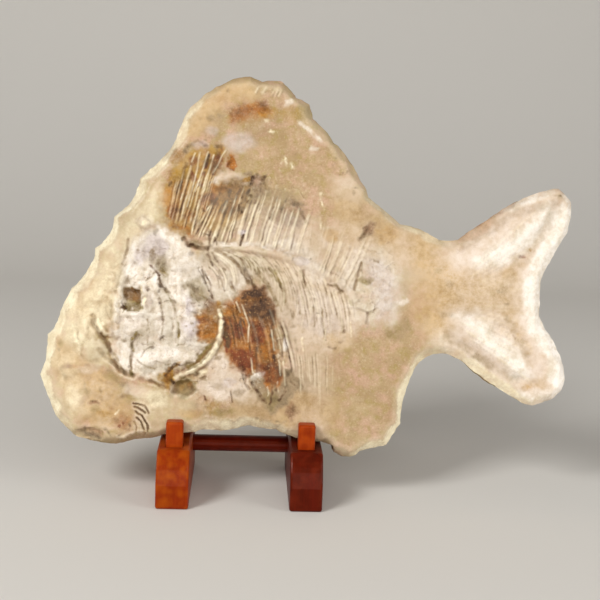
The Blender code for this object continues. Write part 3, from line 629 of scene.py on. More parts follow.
AREAS[Tint.RUST] = (
    (30, 2.4, -39,196, -30,200.5, -18,200, -18,195, -28,193.5, -37,190), (30, 1.8, 40.5,129.5,
    46,129.5, 45.5,124, 40.5,122.5), (65, 1.2, -50.5,169.5, -46.5,173.5, -45,168.5, -46,164,
    -49.5,160, -52,160.5), (45, 1.8, -77,140.5, -72.5,141, -72,136.5, -73.5,131.5, -77,133,
    -78,137), (70, 1.8, -57.5,145.5, -53.5,147.5, -50,148.5, -47.5,146, -48.5,142, -51.5,140.5,
    -54,142, -56.5,140.5, -58,141.5), (45, 1.8, -41.5,139, -37,140.5, -37,136.5, -40,133,
    -43,134.5), (75, 1.8, -42,73, -37,71.5, -32,69.5, -31,64, -33.5,60.5, -38,62, -40.5,67), (70,
    1.8, -30,72.5, -23,71.5, -20.5,66.5, -22,58.5, -26.5,56, -30,59.5), (85, 1.8, -41.5,55,
    -33.5,55.5, -28,55, -25.5,49, -28,44.5, -34,45, -38.5,47, -41.5,51), (60, 1.8, -26.5,48,
    -21,45.5, -15,47.5, -11.5,41.5, -13,36, -20,35, -27,42), (50, 1.2, -37.5,45.5, -30.5,45.5,
    -29,41, -32.5,38.5, -35.5,41), (45, 1.2, -82,38.5, -80,42, -77,45.5, -75,46, -77,42, -77,37,
    -79,34.5), (40, 0.9, -104,92.3, -93,92.3, -93,84.5, -104,84.5), (30, 1.8, -130,27.5, -125.5,30,
    -124,27, -127.5,23.5, -130,25.5), (30, 1.8, -110,16, -105.5,18.5, -102,15.5, -103,11,
    -109,11.5), (50, 1.8, -9,23, -5.5,24, -3.5,19.5, -5.5,15, -8.5,17.5),
)
AREAS[Tint.PLUM] = (
    (35, 1.8, -26.5,152, -24,153, -21.5,149.5, -21.5,144.5, -24.5,143, -27,145.5), (28, 2.2,
    -47,151, -38,156, -30,158, -19,157, -17,151, -25,143, -35,136, -44,135, -46,143), (28, 2.5,
    -22,151, -12,150, -1,145, 4,137, 1,126, -12,128, -24,138), (16, 3, -22,138, -4,134, 4,134,
    -1,122, -10,119, -30,124), (50, 1.8, -34,90, -22,92, -15,82, -15,70, -22,68, -28,74, -34,82),
    (95, 1.4, -36,89, -30.5,92, -26,92.5, -22.5,91, -21.5,86.5, -26,86, -31.5,87, -35,85.5), (65,
    1.8, -32.5,82, -26.5,83, -20,84.5, -15.5,83.5, -14,77, -14.5,72.5, -20.5,72.5, -26.5,73.5,
    -31,75.5, -32,79), (40, 1.8, -54.5,86, -51,85.5, -49,80, -51,76, -55,76.5, -56,81.5), (40, 1.2,
    -128.5,9.5, -122,8.5, -119,5.5, -124,5.5),
)
AREAS[Tint.CREAM] = (
    (10, 6, -55,148, -43,151, 1,149, 2,138, -21,136, -43,127, -55,131), (28, 7, -147,56, -134,57,
    -128,42, -127,20, -138,13, -148,28), (22, 7, -95,31, -62,31, -61,20, -68,9, -95,9), (12, 6,
    77,65, 90,64, 90,51, 77,52), (50, 4.7, -140,74, -132,86, -120,98, -117,108, -110,121, -102,130,
    -94,142, -88,150, -82,156, -80,147, -82,136, -88,128, -96,122, -102,112, -107,94, -108,82,
    -110,73, -120,68, -124,62, -134,60, -140,63), (30, 3.5, -131,66, -121,68, -112,56, -113,47,
    -124,48, -133,54), (95, 0.9, -120,74, -115,73, -114.5,69.5, -117,67.5, -119.5,70.5),
)
AREAS[Tint.UMBER] = (
    (14, 6, -106,137, -98,137, -98,108, -108,108), (8, 7, -98,147, -86,147, -88,115, -98,115), (80,
    0.7, -84,100, -82,99, -80,93.5, -77.5,91, -81.5,91.5),
)

# Strokes: percent, half width, then u and v of each point
STROKES: dict[Tint, tuple] = {}
STROKES[Tint.WARM] = (
    (45, 5, 126,97, 133,106, 141,117, 149,130), (50, 4, 126,72, 130,62, 136,52),
)
STROKES[Tint.CHALK] = (
    (55, 1.5, 2,189.5, 13.5,179), (50, 1.8, -50,117.5, -34,117.5, -20,116, -5,111), (90, 2,
    -96,119, -99.5,110.5, -103.8,98.5, -107,87.5, -108.5,76, -107.5,67), (50, 4.1, 151,26, 136,22,
    121,27),
)
STROKES[Tint.SHADE] = (
    (80, 0.9, -31,108, -25,103.5, -20.5,97.5, -16.5,91.5), (75, 0.8, -26.5,102, -21.5,96, -17.5,90,
    -15,84), (75, 0.8, -17.5,89, -13.5,83, -11,77), (70, 0.6, 0.5,101.5, 3,93.5), (65, 0.6,
    7.5,79.5, 8.5,71, 8,64.5), (60, 0.6, 13,79, 14,64), (44, 0.7, -42,205.5, -42.5,200), (36, 0.9,
    -67.5,173, -63.5,176.5, -60,179, -54,179.5), (40, 0.8, -81.5,141, -81,135.5, -78.5,131,
    -75,127), (56, 0.6, -18.5,159.5, -20,155, -22.5,149), (48, 0.7, -16,154, -18.5,146.5), (40,
    0.8, -28.5,155.5, -30.5,149.5), (64, 0.9, 2.5,136, 4.5,130), (40, 0.6, -47.5,116, -41.5,115.5),
    (90, 1.3, -49,114, -41.5,110, -34.5,102.5, -29,95.5, -26,91), (80, 1.1, -41.5,112.5, -30,104,
    -21.5,98, -16.5,89.5, -14,81), (70, 0.9, -23,104, -13,95, -9.5,87, -8,79), (60, 0.8, -14,104,
    -6,96, -2,86, 0,76), (68, 0.9, -51,112.5, -48,107, -44,102), (48, 0.8, -53,109.5, -48.5,105,
    -46,99.5), (76, 1.1, -40.5,110, -36.5,103.5, -33,98, -30,93.5), (76, 1, -36.5,110, -32.5,103.5,
    -28,97, -26.5,91.5), (48, 0.9, -29.5,105, -26,101.5, -22,96, -17,89), (72, 1.1, -17,102,
    -14,98, -11,92.5, -9.5,89), (56, 0.7, 1.5,101.5, 2.5,91), (60, 0.8, -40.5,92.5, -37.5,85.5),
    (36, 0.7, -44,99, -39.5,90), (40, 0.7, -22.5,90, -18,82, -14.5,73.5), (32, 0.8, -10,87.5,
    -6,78, -4,68.5), (56, 0.8, -45,71.5, -46.5,63.5, -49,57, -50.5,50.5), (32, 1.9, -64,24.5,
    -58,18.5), (28, 0.9, -44.5,35.5, -44.5,31), (48, 0.8, -102,115, -103.5,106.5), (36, 1.2,
    -99,109, -95.5,106), (48, 0.8, -79,91.5, -75.5,87.5, -73.5,83.5), (40, 0.6, -94.5,101.5,
    -99,98), (44, 0.6, -92,56, -87.5,58.5), (44, 0.7, -64,59, -62,55.5), (24, 0.9, -81,74.5,
    -81,67.5), (35, 1.6, -105,107, -106.5,98, -110,88, -111.5,77), (45, 0.6, -83,99, -81,92.5,
    -82.5,86.5, -81,77, -81.5,63), (60, 0.6, -90.5,97, -84,103, -77.5,100.5, -77.5,94.5), (60, 0.6,
    -66,93.5, -59,88.5, -54.5,85), (60, 0.6, -90.5,74, -88.5,67, -90,60), (50, 0.6, -86,50,
    -80,47.5, -73,48.5), (55, 0.6, -96,50, -90,46, -83,44.5), (64, 0.7, -111,56.5, -107,50), (72,
    1.3, -115.5,53, -110.5,48.5, -106,45.5, -101.5,41.5), (40, 1.8, -117,56.5, -114.5,52.5), (68,
    0.7, -99.5,60, -100,43.5), (32, 1.5, -140.5,45.5, -138,40), (40, 0.9, -127,37, -126,32), (28,
    0.8, -119,38, -117,32), (28, 0.8, -107,36.5, -104.5,28.5), (28, 1.4, -115.5,47, -111,43.5),
    (56, 0.8, -115,10, -112.5,6.5, -108,5, -105.5,7.5), (48, 0.7, -120.5,11.5, -115,11.5), (40,
    0.7, -105,39, -105.5,28.5), (60, 0.9, 37,105.5, 36.5,97.5), (48, 0.7, 34,100, 33,96), (60, 0.9,
    44.5,107, 46.5,106), (60, 1.1, 34,95.5, 32,89), (68, 0.9, 16.5,92.5, 21,92.5, 23,90), (40, 0.8,
    21,104, 18.5,100), (40, 0.6, 20,90, 18.5,85), (40, 0.6, 27.5,95, 26.5,90.5), (30, 0.9, 28.5,78,
    34,78, 38,77, 40,75, 43,76.5, 46.5,78), (40, 0.5, 7.5,68.5, 8,63.5), (32, 0.5, 10.5,68.5,
    11,62.5), (40, 1.3, 23.5,74, 25,67, 26,62), (28, 0.7, 50,94, 54,91), (32, 0.8, 7,119.5, 5,110),
    (40, 0.9, -3.5,60.5, -2.5,53.5), (48, 0.8, -27.5,14.5, -20,13, -13,11.5, -6.5,13), (40, 2.4,
    88,59.5, 97,55.5, 106,48, 114,42), (28, 3, 99,116, 114,124, 130,134, 145,138, 158,140), (24,
    1.8, 97.5,123.5, 107,127.5, 117.5,134, 130,140), (24, 4.1, 122,89, 128,99, 135,107, 142,114,
    149,126, 154,135), (56, 0.6, 154,144.5, 158.5,143.5), (28, 3, 124,71, 130,59, 136,50), (24,
    0.6, 103,54.5, 105.5,51.5),
)
STROKES[Tint.OLIVE] = (
    (65, 0.9, -21.5,109, -16,101, -11.5,94, -10,90), (60, 1.3, -59,164.5, -60.5,156), (60, 1.5,
    -39,155.5, -40.5,152), (60, 0.7, -101,79.5, -95,79), (70, 0.8, -71.5,71, -71.5,64.5, -72.5,58),
    (50, 0.9, -79.5,91, -75,83, -72.5,74.5, -72,65, -73.5,60.5), (75, 1.1, -96,66, -99,62.5,
    -99.5,59, -98,56), (45, 1.4, 28,85.5, 30.5,81), (30, 3, 86,60, 96,56, 106,48, 116,41, 128,34),
)
STROKES[Tint.GOLD] = (
    (90, 1.3, -20.5,66, -20,56, -19,48), (95, 1.1, -76.5,44, -75,39),
)
STROKES[Tint.AMBER] = (
    (55, 1.8, -75,129.5, -69,128), (60, 1.8, -66.5,127.5, -63.5,122.5), (70, 1.3, -54.5,144.5,
    -56,137.5), (50, 0.7, -72.5,41.5, -67,43.5), (35, 1.2, -137.5,47.5, -125,47.5),
)
STROKES[Tint.RUST] = (
    (70, 1.6, -53.5,168, -56,160, -58,153), (40, 0.8, 2.5,96.5, 3,91.5), (100, 2, -45,73, -44.2,64,
    -42.5,55), (40, 1.4, -53,56.5, -58,51, -63.5,47, -69,44.5), (60, 0.7, -57.5,28.5, -56,25), (55,
    1, -100.5,121, -101.5,115), (45, 0.8, -88,105.5, -85,102.5, -80.5,100), (50, 0.5, -114,64,
    -109,64.5), (30, 1.8, 97.5,123.5, 107,127.5, 117.5,134, 130,140), (40, 0.8, 127.5,61,
    131.5,56.5),
)
STROKES[Tint.PLUM] = (
    (60, 0.9, -35,109.5, -32.5,103.5, -27.5,93.5), (50, 0.7, -36.5,104, -30.5,95), (60, 1.2,
    -66,166, -68.5,157, -70.5,150), (85, 1.1, -52.5,170.5, -54.5,165, -55,161), (60, 1.3,
    -56,158.5, -57.5,151.5), (35, 1.2, -73.5,128.5, -69,127.5), (80, 1.2, -26.5,157, -31,145,
    -34,138), (80, 1.1, -20,157, -23.5,149, -26,142), (80, 1.3, -34,151, -38,141, -41,133), (70,
    1.2, -39,152, -45,137), (60, 1.1, -45.5,150, -49,143), (60, 1.1, -51.5,143, -55.5,135), (70,
    0.9, -12,145, -15,137, -17.5,130), (60, 0.9, -7.5,144, -10.5,136), (70, 1, -0.5,140, 2,135.5,
    4,131), (70, 0.9, -28.5,34, -24.5,29, -21.5,24), (70, 0.8, -18,34, -17.5,28, -19,23), (60, 0.8,
    -10,38, -9,31, -13.5,25), (80, 1.5, -16.5,73, -17,62, -16,50, -13,40), (60, 1.2, -37.5,80,
    -35.5,72, -35,62), (55, 1.2, -29,78, -27,66, -26,54),
)
STROKES[Tint.CREAM] = (
    (70, 0.7, -7,168.5, -6.5,164), (70, 0.7, -4,166, -3,163), (50, 0.6, -10,165, -8,167), (70, 0.6,
    13.5,148, 13.5,143.5), (70, 0.6, 14,142, 15,137.5), (40, 0.7, 12.5,133.5, 13,126.5), (35, 0.45,
    -14.5,36, -13.8,30), (35, 0.45, -20.5,33, -19.8,28.5), (100, 1.1, -48.2,78.5, -46.6,73.5,
    -46.2,70), (100, 1.8, -46.5,71.5, -47.5,62.5, -52,54, -57,48.5, -64.5,44), (90, 1.2, -64.5,44,
    -69.5,41.8, -74,39.5), (80, 1.4, -64.5,43, -60,42, -56,43), (90, 0.8, -93.5,93, -91.5,86.5,
    -93,80), (60, 0.9, -133,70.5, -132,62), (50, 0.9, -130.5,62, -129.5,55), (50, 0.7, -109,18.5,
    -107,21.5), (50, 0.5, 29.5,70.5, 30.5,62), (50, 0.7, 0.5,61.5, 1,54.5),
)
STROKES[Tint.UMBER] = (
    (40, 0.6, -54,111.5, -51,105.5), (35, 0.6, -52,113, -48,106.5), (40, 0.6, -42.5,99.5,
    -39.5,91.5, -36.5,87.5), (35, 1.6, -67,172, -65,175.5, -59.5,178.5, -54,176.5), (25, 1.2,
    -66.5,146.5, -64,137, -60.5,132), (29, 0.6, 20.5,162, 22,165), (29, 0.6, 22.5,159.5, 25,162.5),
    (29, 0.6, 24.5,158, 27,159.5), (25, 0.5, 28.5,158.5, 30.5,160), (22, 0.5, 21.5,168, 23,169),
    (29, 1.8, -46,175, -47.5,168.5, -50,160.5), (43, 0.9, -40,142, -42.5,137, -44.5,133.5), (65,
    0.7, -32,148.5, -34,143.5, -36.5,137.5), (65, 0.9, -28.5,146, -30.5,141, -34.5,136), (62, 1.5,
    -68,121.5, -66,118.5, -63,117), (50, 1.3, -64,117, -59,115.5, -53.5,115), (42, 0.8, -53,125,
    -53,118.5, -54,111.5), (50, 0.7, -57,124.5, -53.5,122.5), (61, 0.5, -49.5,121.5, -49,117), (68,
    0.7, -33,123, -35,117), (43, 0.8, -54.5,111.5, -51.5,106), (60, 0.7, -57.5,104.5, -53.5,95.5,
    -52,86), (40, 0.5, -57.5,102.5, -55.5,94.5), (43, 0.8, -53.5,90.5, -51.5,85), (32, 0.6,
    -35,102, -31,95), (32, 0.6, -31,101.5, -27,93), (70, 0.7, -31,41, -29,35, -27,33, -24.5,28.5,
    -22,26), (50, 0.7, -8.5,41, -6,36, -3.5,33), (95, 1.1, -44.6,70, -44,63, -43,57), (65, 0.8,
    -42.5,74.5, -41,70, -39.5,63.5), (36, 0.9, -27.5,68, -26.5,58.5), (43, 1.3, -18.5,43,
    -18.5,34), (47, 1.4, -15,40, -15,31.5), (43, 0.8, -12,44, -12,34), (61, 0.7, -34.5,40.5,
    -33.5,35, -31.5,32), (29, 0.9, -26,30, -23.5,25.5), (32, 1.1, -21,32.5, -21,26.5), (50, 0.6,
    -51.5,55.5, -56,50.5, -61.5,46.5, -68,43.8), (70, 1, -80.5,41, -78,44, -74.5,47, -70,47.5),
    (61, 0.8, -78,42.5, -75.5,46, -72,47), (40, 0.5, -41.5,31, -41,24), (55, 1, -103,91.5,
    -98.5,92, -94.5,91), (72, 0.7, -103.5,88.5, -105,84.5, -103.5,82), (25, 0.9, -100.5,121,
    -101.5,115), (29, 0.6, -88,105.5, -85,102.5, -80.5,100), (32, 0.6, -66,83, -66.5,79.5, -65,78,
    -62,77.5, -59,76), (25, 0.5, -68.5,62.5, -66.5,61, -64.5,63), (55, 0.6, -60,104, -56.5,96,
    -53,88.5), (50, 0.55, -51,103, -46.5,96, -44,90), (60, 0.55, -98.5,24.8, -95.5,24.3, -92.5,23,
    -90.5,19.5), (60, 0.5, -98,22.8, -95,21.3, -92.3,19.3), (50, 0.5, -97.3,19.8, -94,17.3,
    -91.2,13, -90.7,8), (45, 0.5, -96.8,16.3, -94.5,13.8, -93,10), (43, 1.4, -121.5,74, -120,70,
    -117,66, -113.5,61, -112.5,56.5), (40, 0.7, -112.5,56.5, -108.5,50, -107,46.5), (29, 0.8,
    -111,49, -106.5,44.5, -102,41.5), (29, 0.9, -103,8, -101,10.5), (36, 0.5, 19,100, 18,94.5),
    (25, 1.1, 40,75.5, 39,72, 39.5,67.5), (36, 0.8, 8,84.5, 8,79.5), (32, 0.5, 12.5,73.5, 13,67,
    14.5,59.5), (32, 0.8, 22.5,58.5, 26.5,60.5), (36, 0.7, 16.5,56, 20,55), (25, 0.8, 2,113.5,
    3.5,110.5),
)

# Spots: percent, u, v, half length, half width and, unless it is 0, the turn
SPOTS: dict[Tint, tuple] = {}
SPOTS[Tint.BLUSH] = (
    (50, -112,14, 9,3.5), (40, -97,33, 9,4, -10), (50, 2,120, 5.3,5.9),
)
SPOTS[Tint.WARM] = (
    (50, -56,111, 7,6), (55, 30,137, 11,6, -30), (45, 22,60, 9,7), (45, -1,26, 10,5), (35, -99,121,
    7,8), (30, -126,75, 6,8), (40, 140,32, 8.3,4.1),
)
SPOTS[Tint.CHALK] = (
    (44, -4.5,201.5, 3.6,1.8, 20), (44, 10,174, 3,1.2), (35, -24,28.5, 2,1.3, 60), (30, -12,29,
    1.5,3, -20), (45, 61.5,82, 3.6,1.8), (80, -9,58, 2.1,4.1),
)
SPOTS[Tint.LILAC] = (
    (30, -90,132, 5,4), (30, -50,185, 4,3), (40, -35,178, 10.7,5.9), (30, -57,177, 5.5,2.4), (85,
    -33.5,124, 2.7,1.8), (40, -43,36, 5,3, 20), (20, -124,46, 7,3.4, 10), (50, 1.5,107, 4.7,3),
)
SPOTS[Tint.SHADE] = (
    (18, -47,194, 7,5), (16, -50,184, 6,4), (35, -51.5,192.5, 3,1.8), (45, -45,193.5, 2.4,1.2),
    (40, -40,208.5, 1.2,1.8), (50, 33,147, 1.2,1.2), (85, -66.5,173.5, 2.1,1.4, -20), (65, -30,159,
    2.4,1.5), (50, -0.5,140.5, 4.1,1.5, -10), (40, -12,139, 2.4,1.8), (50, -32,108.5, 2.4,0.9, 20),
    (60, -49.5,51, 1.5,2.4, -60), (45, -37,30, 5,2.6, 20), (30, -50,34, 4,2.4, -20), (90, -62,41.5,
    2.4,1.2, 10), (90, -57.5,39, 2.7,1.3, -20), (50, -80,38.5, 3,2.4), (50, -76,29.5, 2.4,2.4),
    (30, -116,79, 5.9,4.7), (60, -98,86.5, 3,3), (50, -94.5,114.5, 1.8,0.9), (70, -67.5,69.5,
    0.9,0.8), (70, -64,71, 1.2,0.9), (60, -63,66.5, 0.8,1.2), (40, -74,110, 1.8,1.2), (50,
    -61,118.5, 5,1.8, -12), (30, -104,36, 3,2), (50, -94.5,65, 1.5,0.9), (60, -103.5,62, 1.8,1.2),
    (50, -141.5,57.5, 0.9,0.9), (80, 25,88.5, 1.3,1.9), (60, -4,75, 1.2,2.4), (40, -4,68.5,
    1.8,1.2), (35, 8.5,5, 3,4.1), (40, 119.5,87.5, 1.8,1.2), (45, 124,79.5, 1.8,1.2), (35, 89.5,92,
    3.6,2.4), (35, 86.5,74, 4.7,2.4, -10),
)
SPOTS[Tint.OLIVE] = (
    (20, -80,86, 4.5,11, 8), (18, -78,66, 4,10, -5), (25, -94,66, 6,4, 30), (22, -88,58.5, 6,3,
    30), (16, -56,110, 7,6), (14, -101,94, 6,5), (16, -66,59, 7,4, 20), (20, -73.5,43, 6,3, 20),
    (12, -21,184, 11,5), (35, 3,196, 6.5,4.7), (50, -63,141.5, 1.8,2.4), (55, -33,109.5, 2.4,1.2),
    (50, -14.5,100.5, 2.4,1.8, 50), (30, -112,41, 5,2.4, -10), (25, -127,32, 4,3), (40, -84,27,
    7,3), (45, -47,18.5, 8,2.4), (80, -99.5,42, 1.3,1.8), (45, -140.5,61, 1.8,2.4), (30, -121,22,
    3,2.4), (55, 39.5,95, 4.7,2.4), (45, 52,63.5, 2.4,2.4), (20, 83.5,100.5, 3.6,1.8),
)
SPOTS[Tint.GOLD] = (
    (14, -112,108, 6,8, 30), (25, -70,34, 6,4), (35, -16,196, 6,4), (22, -4,195, 6,6), (60,
    -20,196, 3.6,3), (70, -31,155, 3,1.6, 20), (40, 19,122, 5.3,4.7), (70, -37,77, 3,2, -30), (60,
    -48,83, 1.5,2.4), (60, -71,34, 1.8,1.8), (50, -66,18, 8,3), (40, -108.5,70.5, 3,2.1), (40,
    -115.5,20, 5.3,2.4), (60, 139.5,112, 0.9,1.5, -20), (40, 134.5,29.5, 3.6,2.1),
)
SPOTS[Tint.AMBER] = (
    (12, -28,196, 13,8, 8), (30, -76,173, 9,7, -35), (40, -65.5,34.5, 2.4,3),
)
SPOTS[Tint.RUST] = (
    (16, -92,132, 4,4), (55, -62,167.5, 3.6,2.4, -60), (65, -62,158, 4.1,1.8, -65), (75, -43.5,62,
    2.6,6.5), (50, -58,73, 2.4,1.5), (50, -94,132, 1.6,3.2, 10), (25, -89.5,85.5, 3,4.1), (35,
    -88,128, 4.5,1.6, 20), (45, -137,47, 3.4,1.8, 10), (45, -121,26, 4,1.6, -15), (60, -135,46.5,
    1.7,1.1, 20), (80, -108,12.5, 1.3,0.9), (70, -105,13, 0.9,0.9), (50, 134.5,107.5, 1.9,0.9),
)
SPOTS[Tint.PLUM] = (
    (32, -40,150, 9,6.5, 50), (20, -66.5,125, 4,3), (50, -43.5,137, 1.8,2.4), (50, -44.5,67,
    2,4.5), (30, -84.5,125.5, 1.5,2.6),
)
SPOTS[Tint.CREAM] = (
    (70, -15,184, 2.1,0.9), (50, -18.5,191.5, 1.5,0.9), (40, -88,27, 9,6), (90, -91,131, 1.3,1.5),
    (30, -134,30, 5,7, 20),
)
SPOTS[Tint.UMBER] = (
    (30, -70,34, 5,3.5), (35, -75.5,32.5, 2.5,3, 30), (30, -64,31.5, 3,1.5, 20), (45, 34,150,
    1.5,0.9), (50, -46.5,176, 2.4,1.4), (55, -76,153.5, 1.2,1.8), (60, -55.5,138, 1.2,1.2), (35,
    -25,157, 4.5,1.4, -5), (30, -2,142, 3.5,2.5, -30), (40, -32,124.5, 0.7,0.7), (90, -43.5,61.5,
    1.6,5.2), (22, -74,171, 7,5, -35), (20, -49,164, 8,4, -20), (40, -59.5,82, 1.2,0.7), (80,
    -76,36.5, 1.4,2.4), (75, -104,80.5, 2,1.2), (60, -89.5,91, 1.3,1.2), (40, -91,114, 0.7,0.6),
    (60, -83.5,84, 1.2,0.9), (60, -81.5,77, 0.7,1.5), (55, -81.5,63, 0.7,1.1), (55, -87,58.5,
    1.7,0.9, 10), (35, -64,112, 2.5,1.6, 20), (50, -82.5,90, 0.8,1.6), (50, -81.3,74, 0.7,1.5),
    (45, -100.5,47, 0.8,1.2), (55, -122,27, 1.7,0.9, -15), (60, -100.5,12, 1.3,0.9, -50), (45,
    9,76, 1.4,0.6), (45, 25.5,65, 0.9,1.8, -20), (35, 53,117, 0.8,0.7), (40, 6.5,108.5, 0.9,0.7),
    (35, -3,107.5, 0.7,1.2),
)

STAINS = (*Area.table(AREAS), *Stroke.table(STROKES), *Spot.table(SPOTS))


# ================================================================ the skeleton's relief
@dataclass(frozen=True)
class Crease:
    """A ridge, or a groove where its height is negative.

    Attributes:
        name: what it is on the fish.
        half_width: from its crest to its foot.
        height: of its crest over the stone around it.
        line: the points it runs through.
    """
    name: str
    half_width: float
    height: float
    line: tuple

    @classmethod
    def table(cls, *rows: tuple) -> list["Crease"]:
        """Creases from rows of name, half width, height and the line's u and v in turn."""
        return [cls(*row[:3], pairs(row[3:])) for row in rows]


@dataclass(frozen=True)
class Swelling:
    """A boss, or a pit where its height is negative.

    Attributes:
        name: what it is on the fish.
        middle: its place.
        half_size: half its length and half its width.
        turn: degrees from level, anticlockwise.
        height: of its top over the stone around it.
        power: 2 for an oval; more makes it squarer.
    """
    name: str
    middle: Place
    half_size: Place
    turn: float
    height: float
    power: float = 2.0

    @classmethod
    def table(cls, *rows: tuple) -> list["Swelling"]:
        """Swellings from rows of name, u, v, half length, half width, turn, height, power."""
        return [cls(row[0], row[1:3], row[3:5], *row[5:]) for row in rows]


@dataclass(frozen=True)
class SpineRow:
    """A row of like spines, ribs or rays.

    Attributes:
        name: what it is on the fish.
        count: how many there are.
        half_width: of one.
        height: of one over the stone around it.
        sag: bow of one, to its left as it grows.
        roots: line that they start from.
        tips: line that they end on.
        crest: how pale the crests of the first and of the last are, 0 to 1.
        valley: how dark it is beside the first and the last, 0 to 1; partly painted shadow.
        stray: how far they stray, in millimetres.
        ragged: share of their length by which their ends differ.
        gap: tint of the valleys between them and of their painted shadow.
    """
    name: str
    count: int
    half_width: float
    height: float
    sag: float
    roots: tuple
    tips: tuple
    crest: tuple[float, float]
    valley: tuple[float, float]
    stray: float = 0.8
    ragged: float = 0.12
    gap: Tint = Tint.SHADE

    def lines(self) -> list[Array]:
        """Centre lines of the row, one for each spine."""
        root_points = resample(self.roots, 0.5)
        tip_points = resample(self.tips, 0.5)
        found = []
        for index in range(self.count):
            share = index / max(1, self.count - 1)
            skew = 0.38 * math.sin(index * 2.39 + self.count) / self.count
            root = root_points[round(min(max(share + skew, 0), 1) * (len(root_points) - 1))]
            skew += 0.3 * math.sin(index * 4.71) / self.count
            tip = tip_points[round(min(max(share + skew, 0), 1) * (len(tip_points) - 1))]
            chord = tip - root
            side = np.array((-chord[1], chord[0])) / np.hypot(*chord)
            wander = np.sin((index + len(self.name)) * np.array((12.9898, 78.233, 37.719, 5.13)))
            start = self.ragged * 0.5 * abs(wander[3])
            end = 1.0 - self.ragged * abs(wander[0])
            along = np.linspace(start, end, 9)
            lift = self.sag * 4.0 * along * (1.0 - along) + 0.6 * self.stray * wander[1] * along
            lift += 0.5 * self.stray * wander[2] * np.sin(along * math.pi)
            found.append(root + along[:, None] * chord + lift[:, None] * side)
        return found

    def shape(self, points: Array) -> tuple[Array, Array, Array]:
        """Find the row's crests and the valleys beside them.

        Args:
            points: places, one row each.

        Returns:
            The crests, 1 along their tops; how pale each point is; how dark, partly painted
            shadow.
        """
        crests = np.zeros(len(points))
        pale = np.zeros(len(points))
        dark = np.zeros(len(points))
        for index, line in enumerate(self.lines()):
            share = index / max(1, self.count - 1)
            girth = self.half_width * (1.0 + 0.22 * math.sin(index * 5.17))
            found = near_line(points, line, 2.2 * girth)
            gap, place = segment_distance(points[found], line[:-1], line[1:])
            place /= len(line) - 1
            taper = smooth_step(place / 0.12 + 0.3) * smooth_step((1.0 - place) / 0.3)
            wear_and_shade = lattice_noise(np.column_stack((place * 7.0, place * 0 + index * 3.7)), 1.0,
                                 self.half_width)
            luck = 0.5 + 0.5 * math.sin(index * 3.71 + self.count)
            pride = (0.62 + 0.38 * luck + 0.4 * wear_and_shade).clip(0.0, 1.1) * taper
            crest = pride * ridge_profile(gap, girth)
            chord = line[-1] - line[0]
            side = np.sign((points[found] - line[0]) @ np.array((chord[1], -chord[0])))
            # darker stone beside each spine, strongest on one side as a painted shadow
            lee = ridge_profile(abs(gap - 1.25 * girth), 0.95 * girth) * (0.72 + 0.28 * side)
            murk = 0.5 + 0.5 * math.sin(index * 8.13 + self.height)
            beside = lee * taper * (0.45 + 0.75 * murk - 0.5 * wear_and_shade).clip(0.0, 1.1)
            crests[found] = np.maximum(crests[found], crest)
            bright = self.crest[0] + (self.crest[1] - self.crest[0]) * share
            dim = self.valley[0] + (self.valley[1] - self.valley[0]) * share
            pale[found] = np.maximum(pale[found], bright * crest)
            dark[found] = np.maximum(dark[found], dim * beside)
        dark *= 1.0 - np.clip(1.3 * crests, 0.0, 1.0)
        return crests, pale, dark


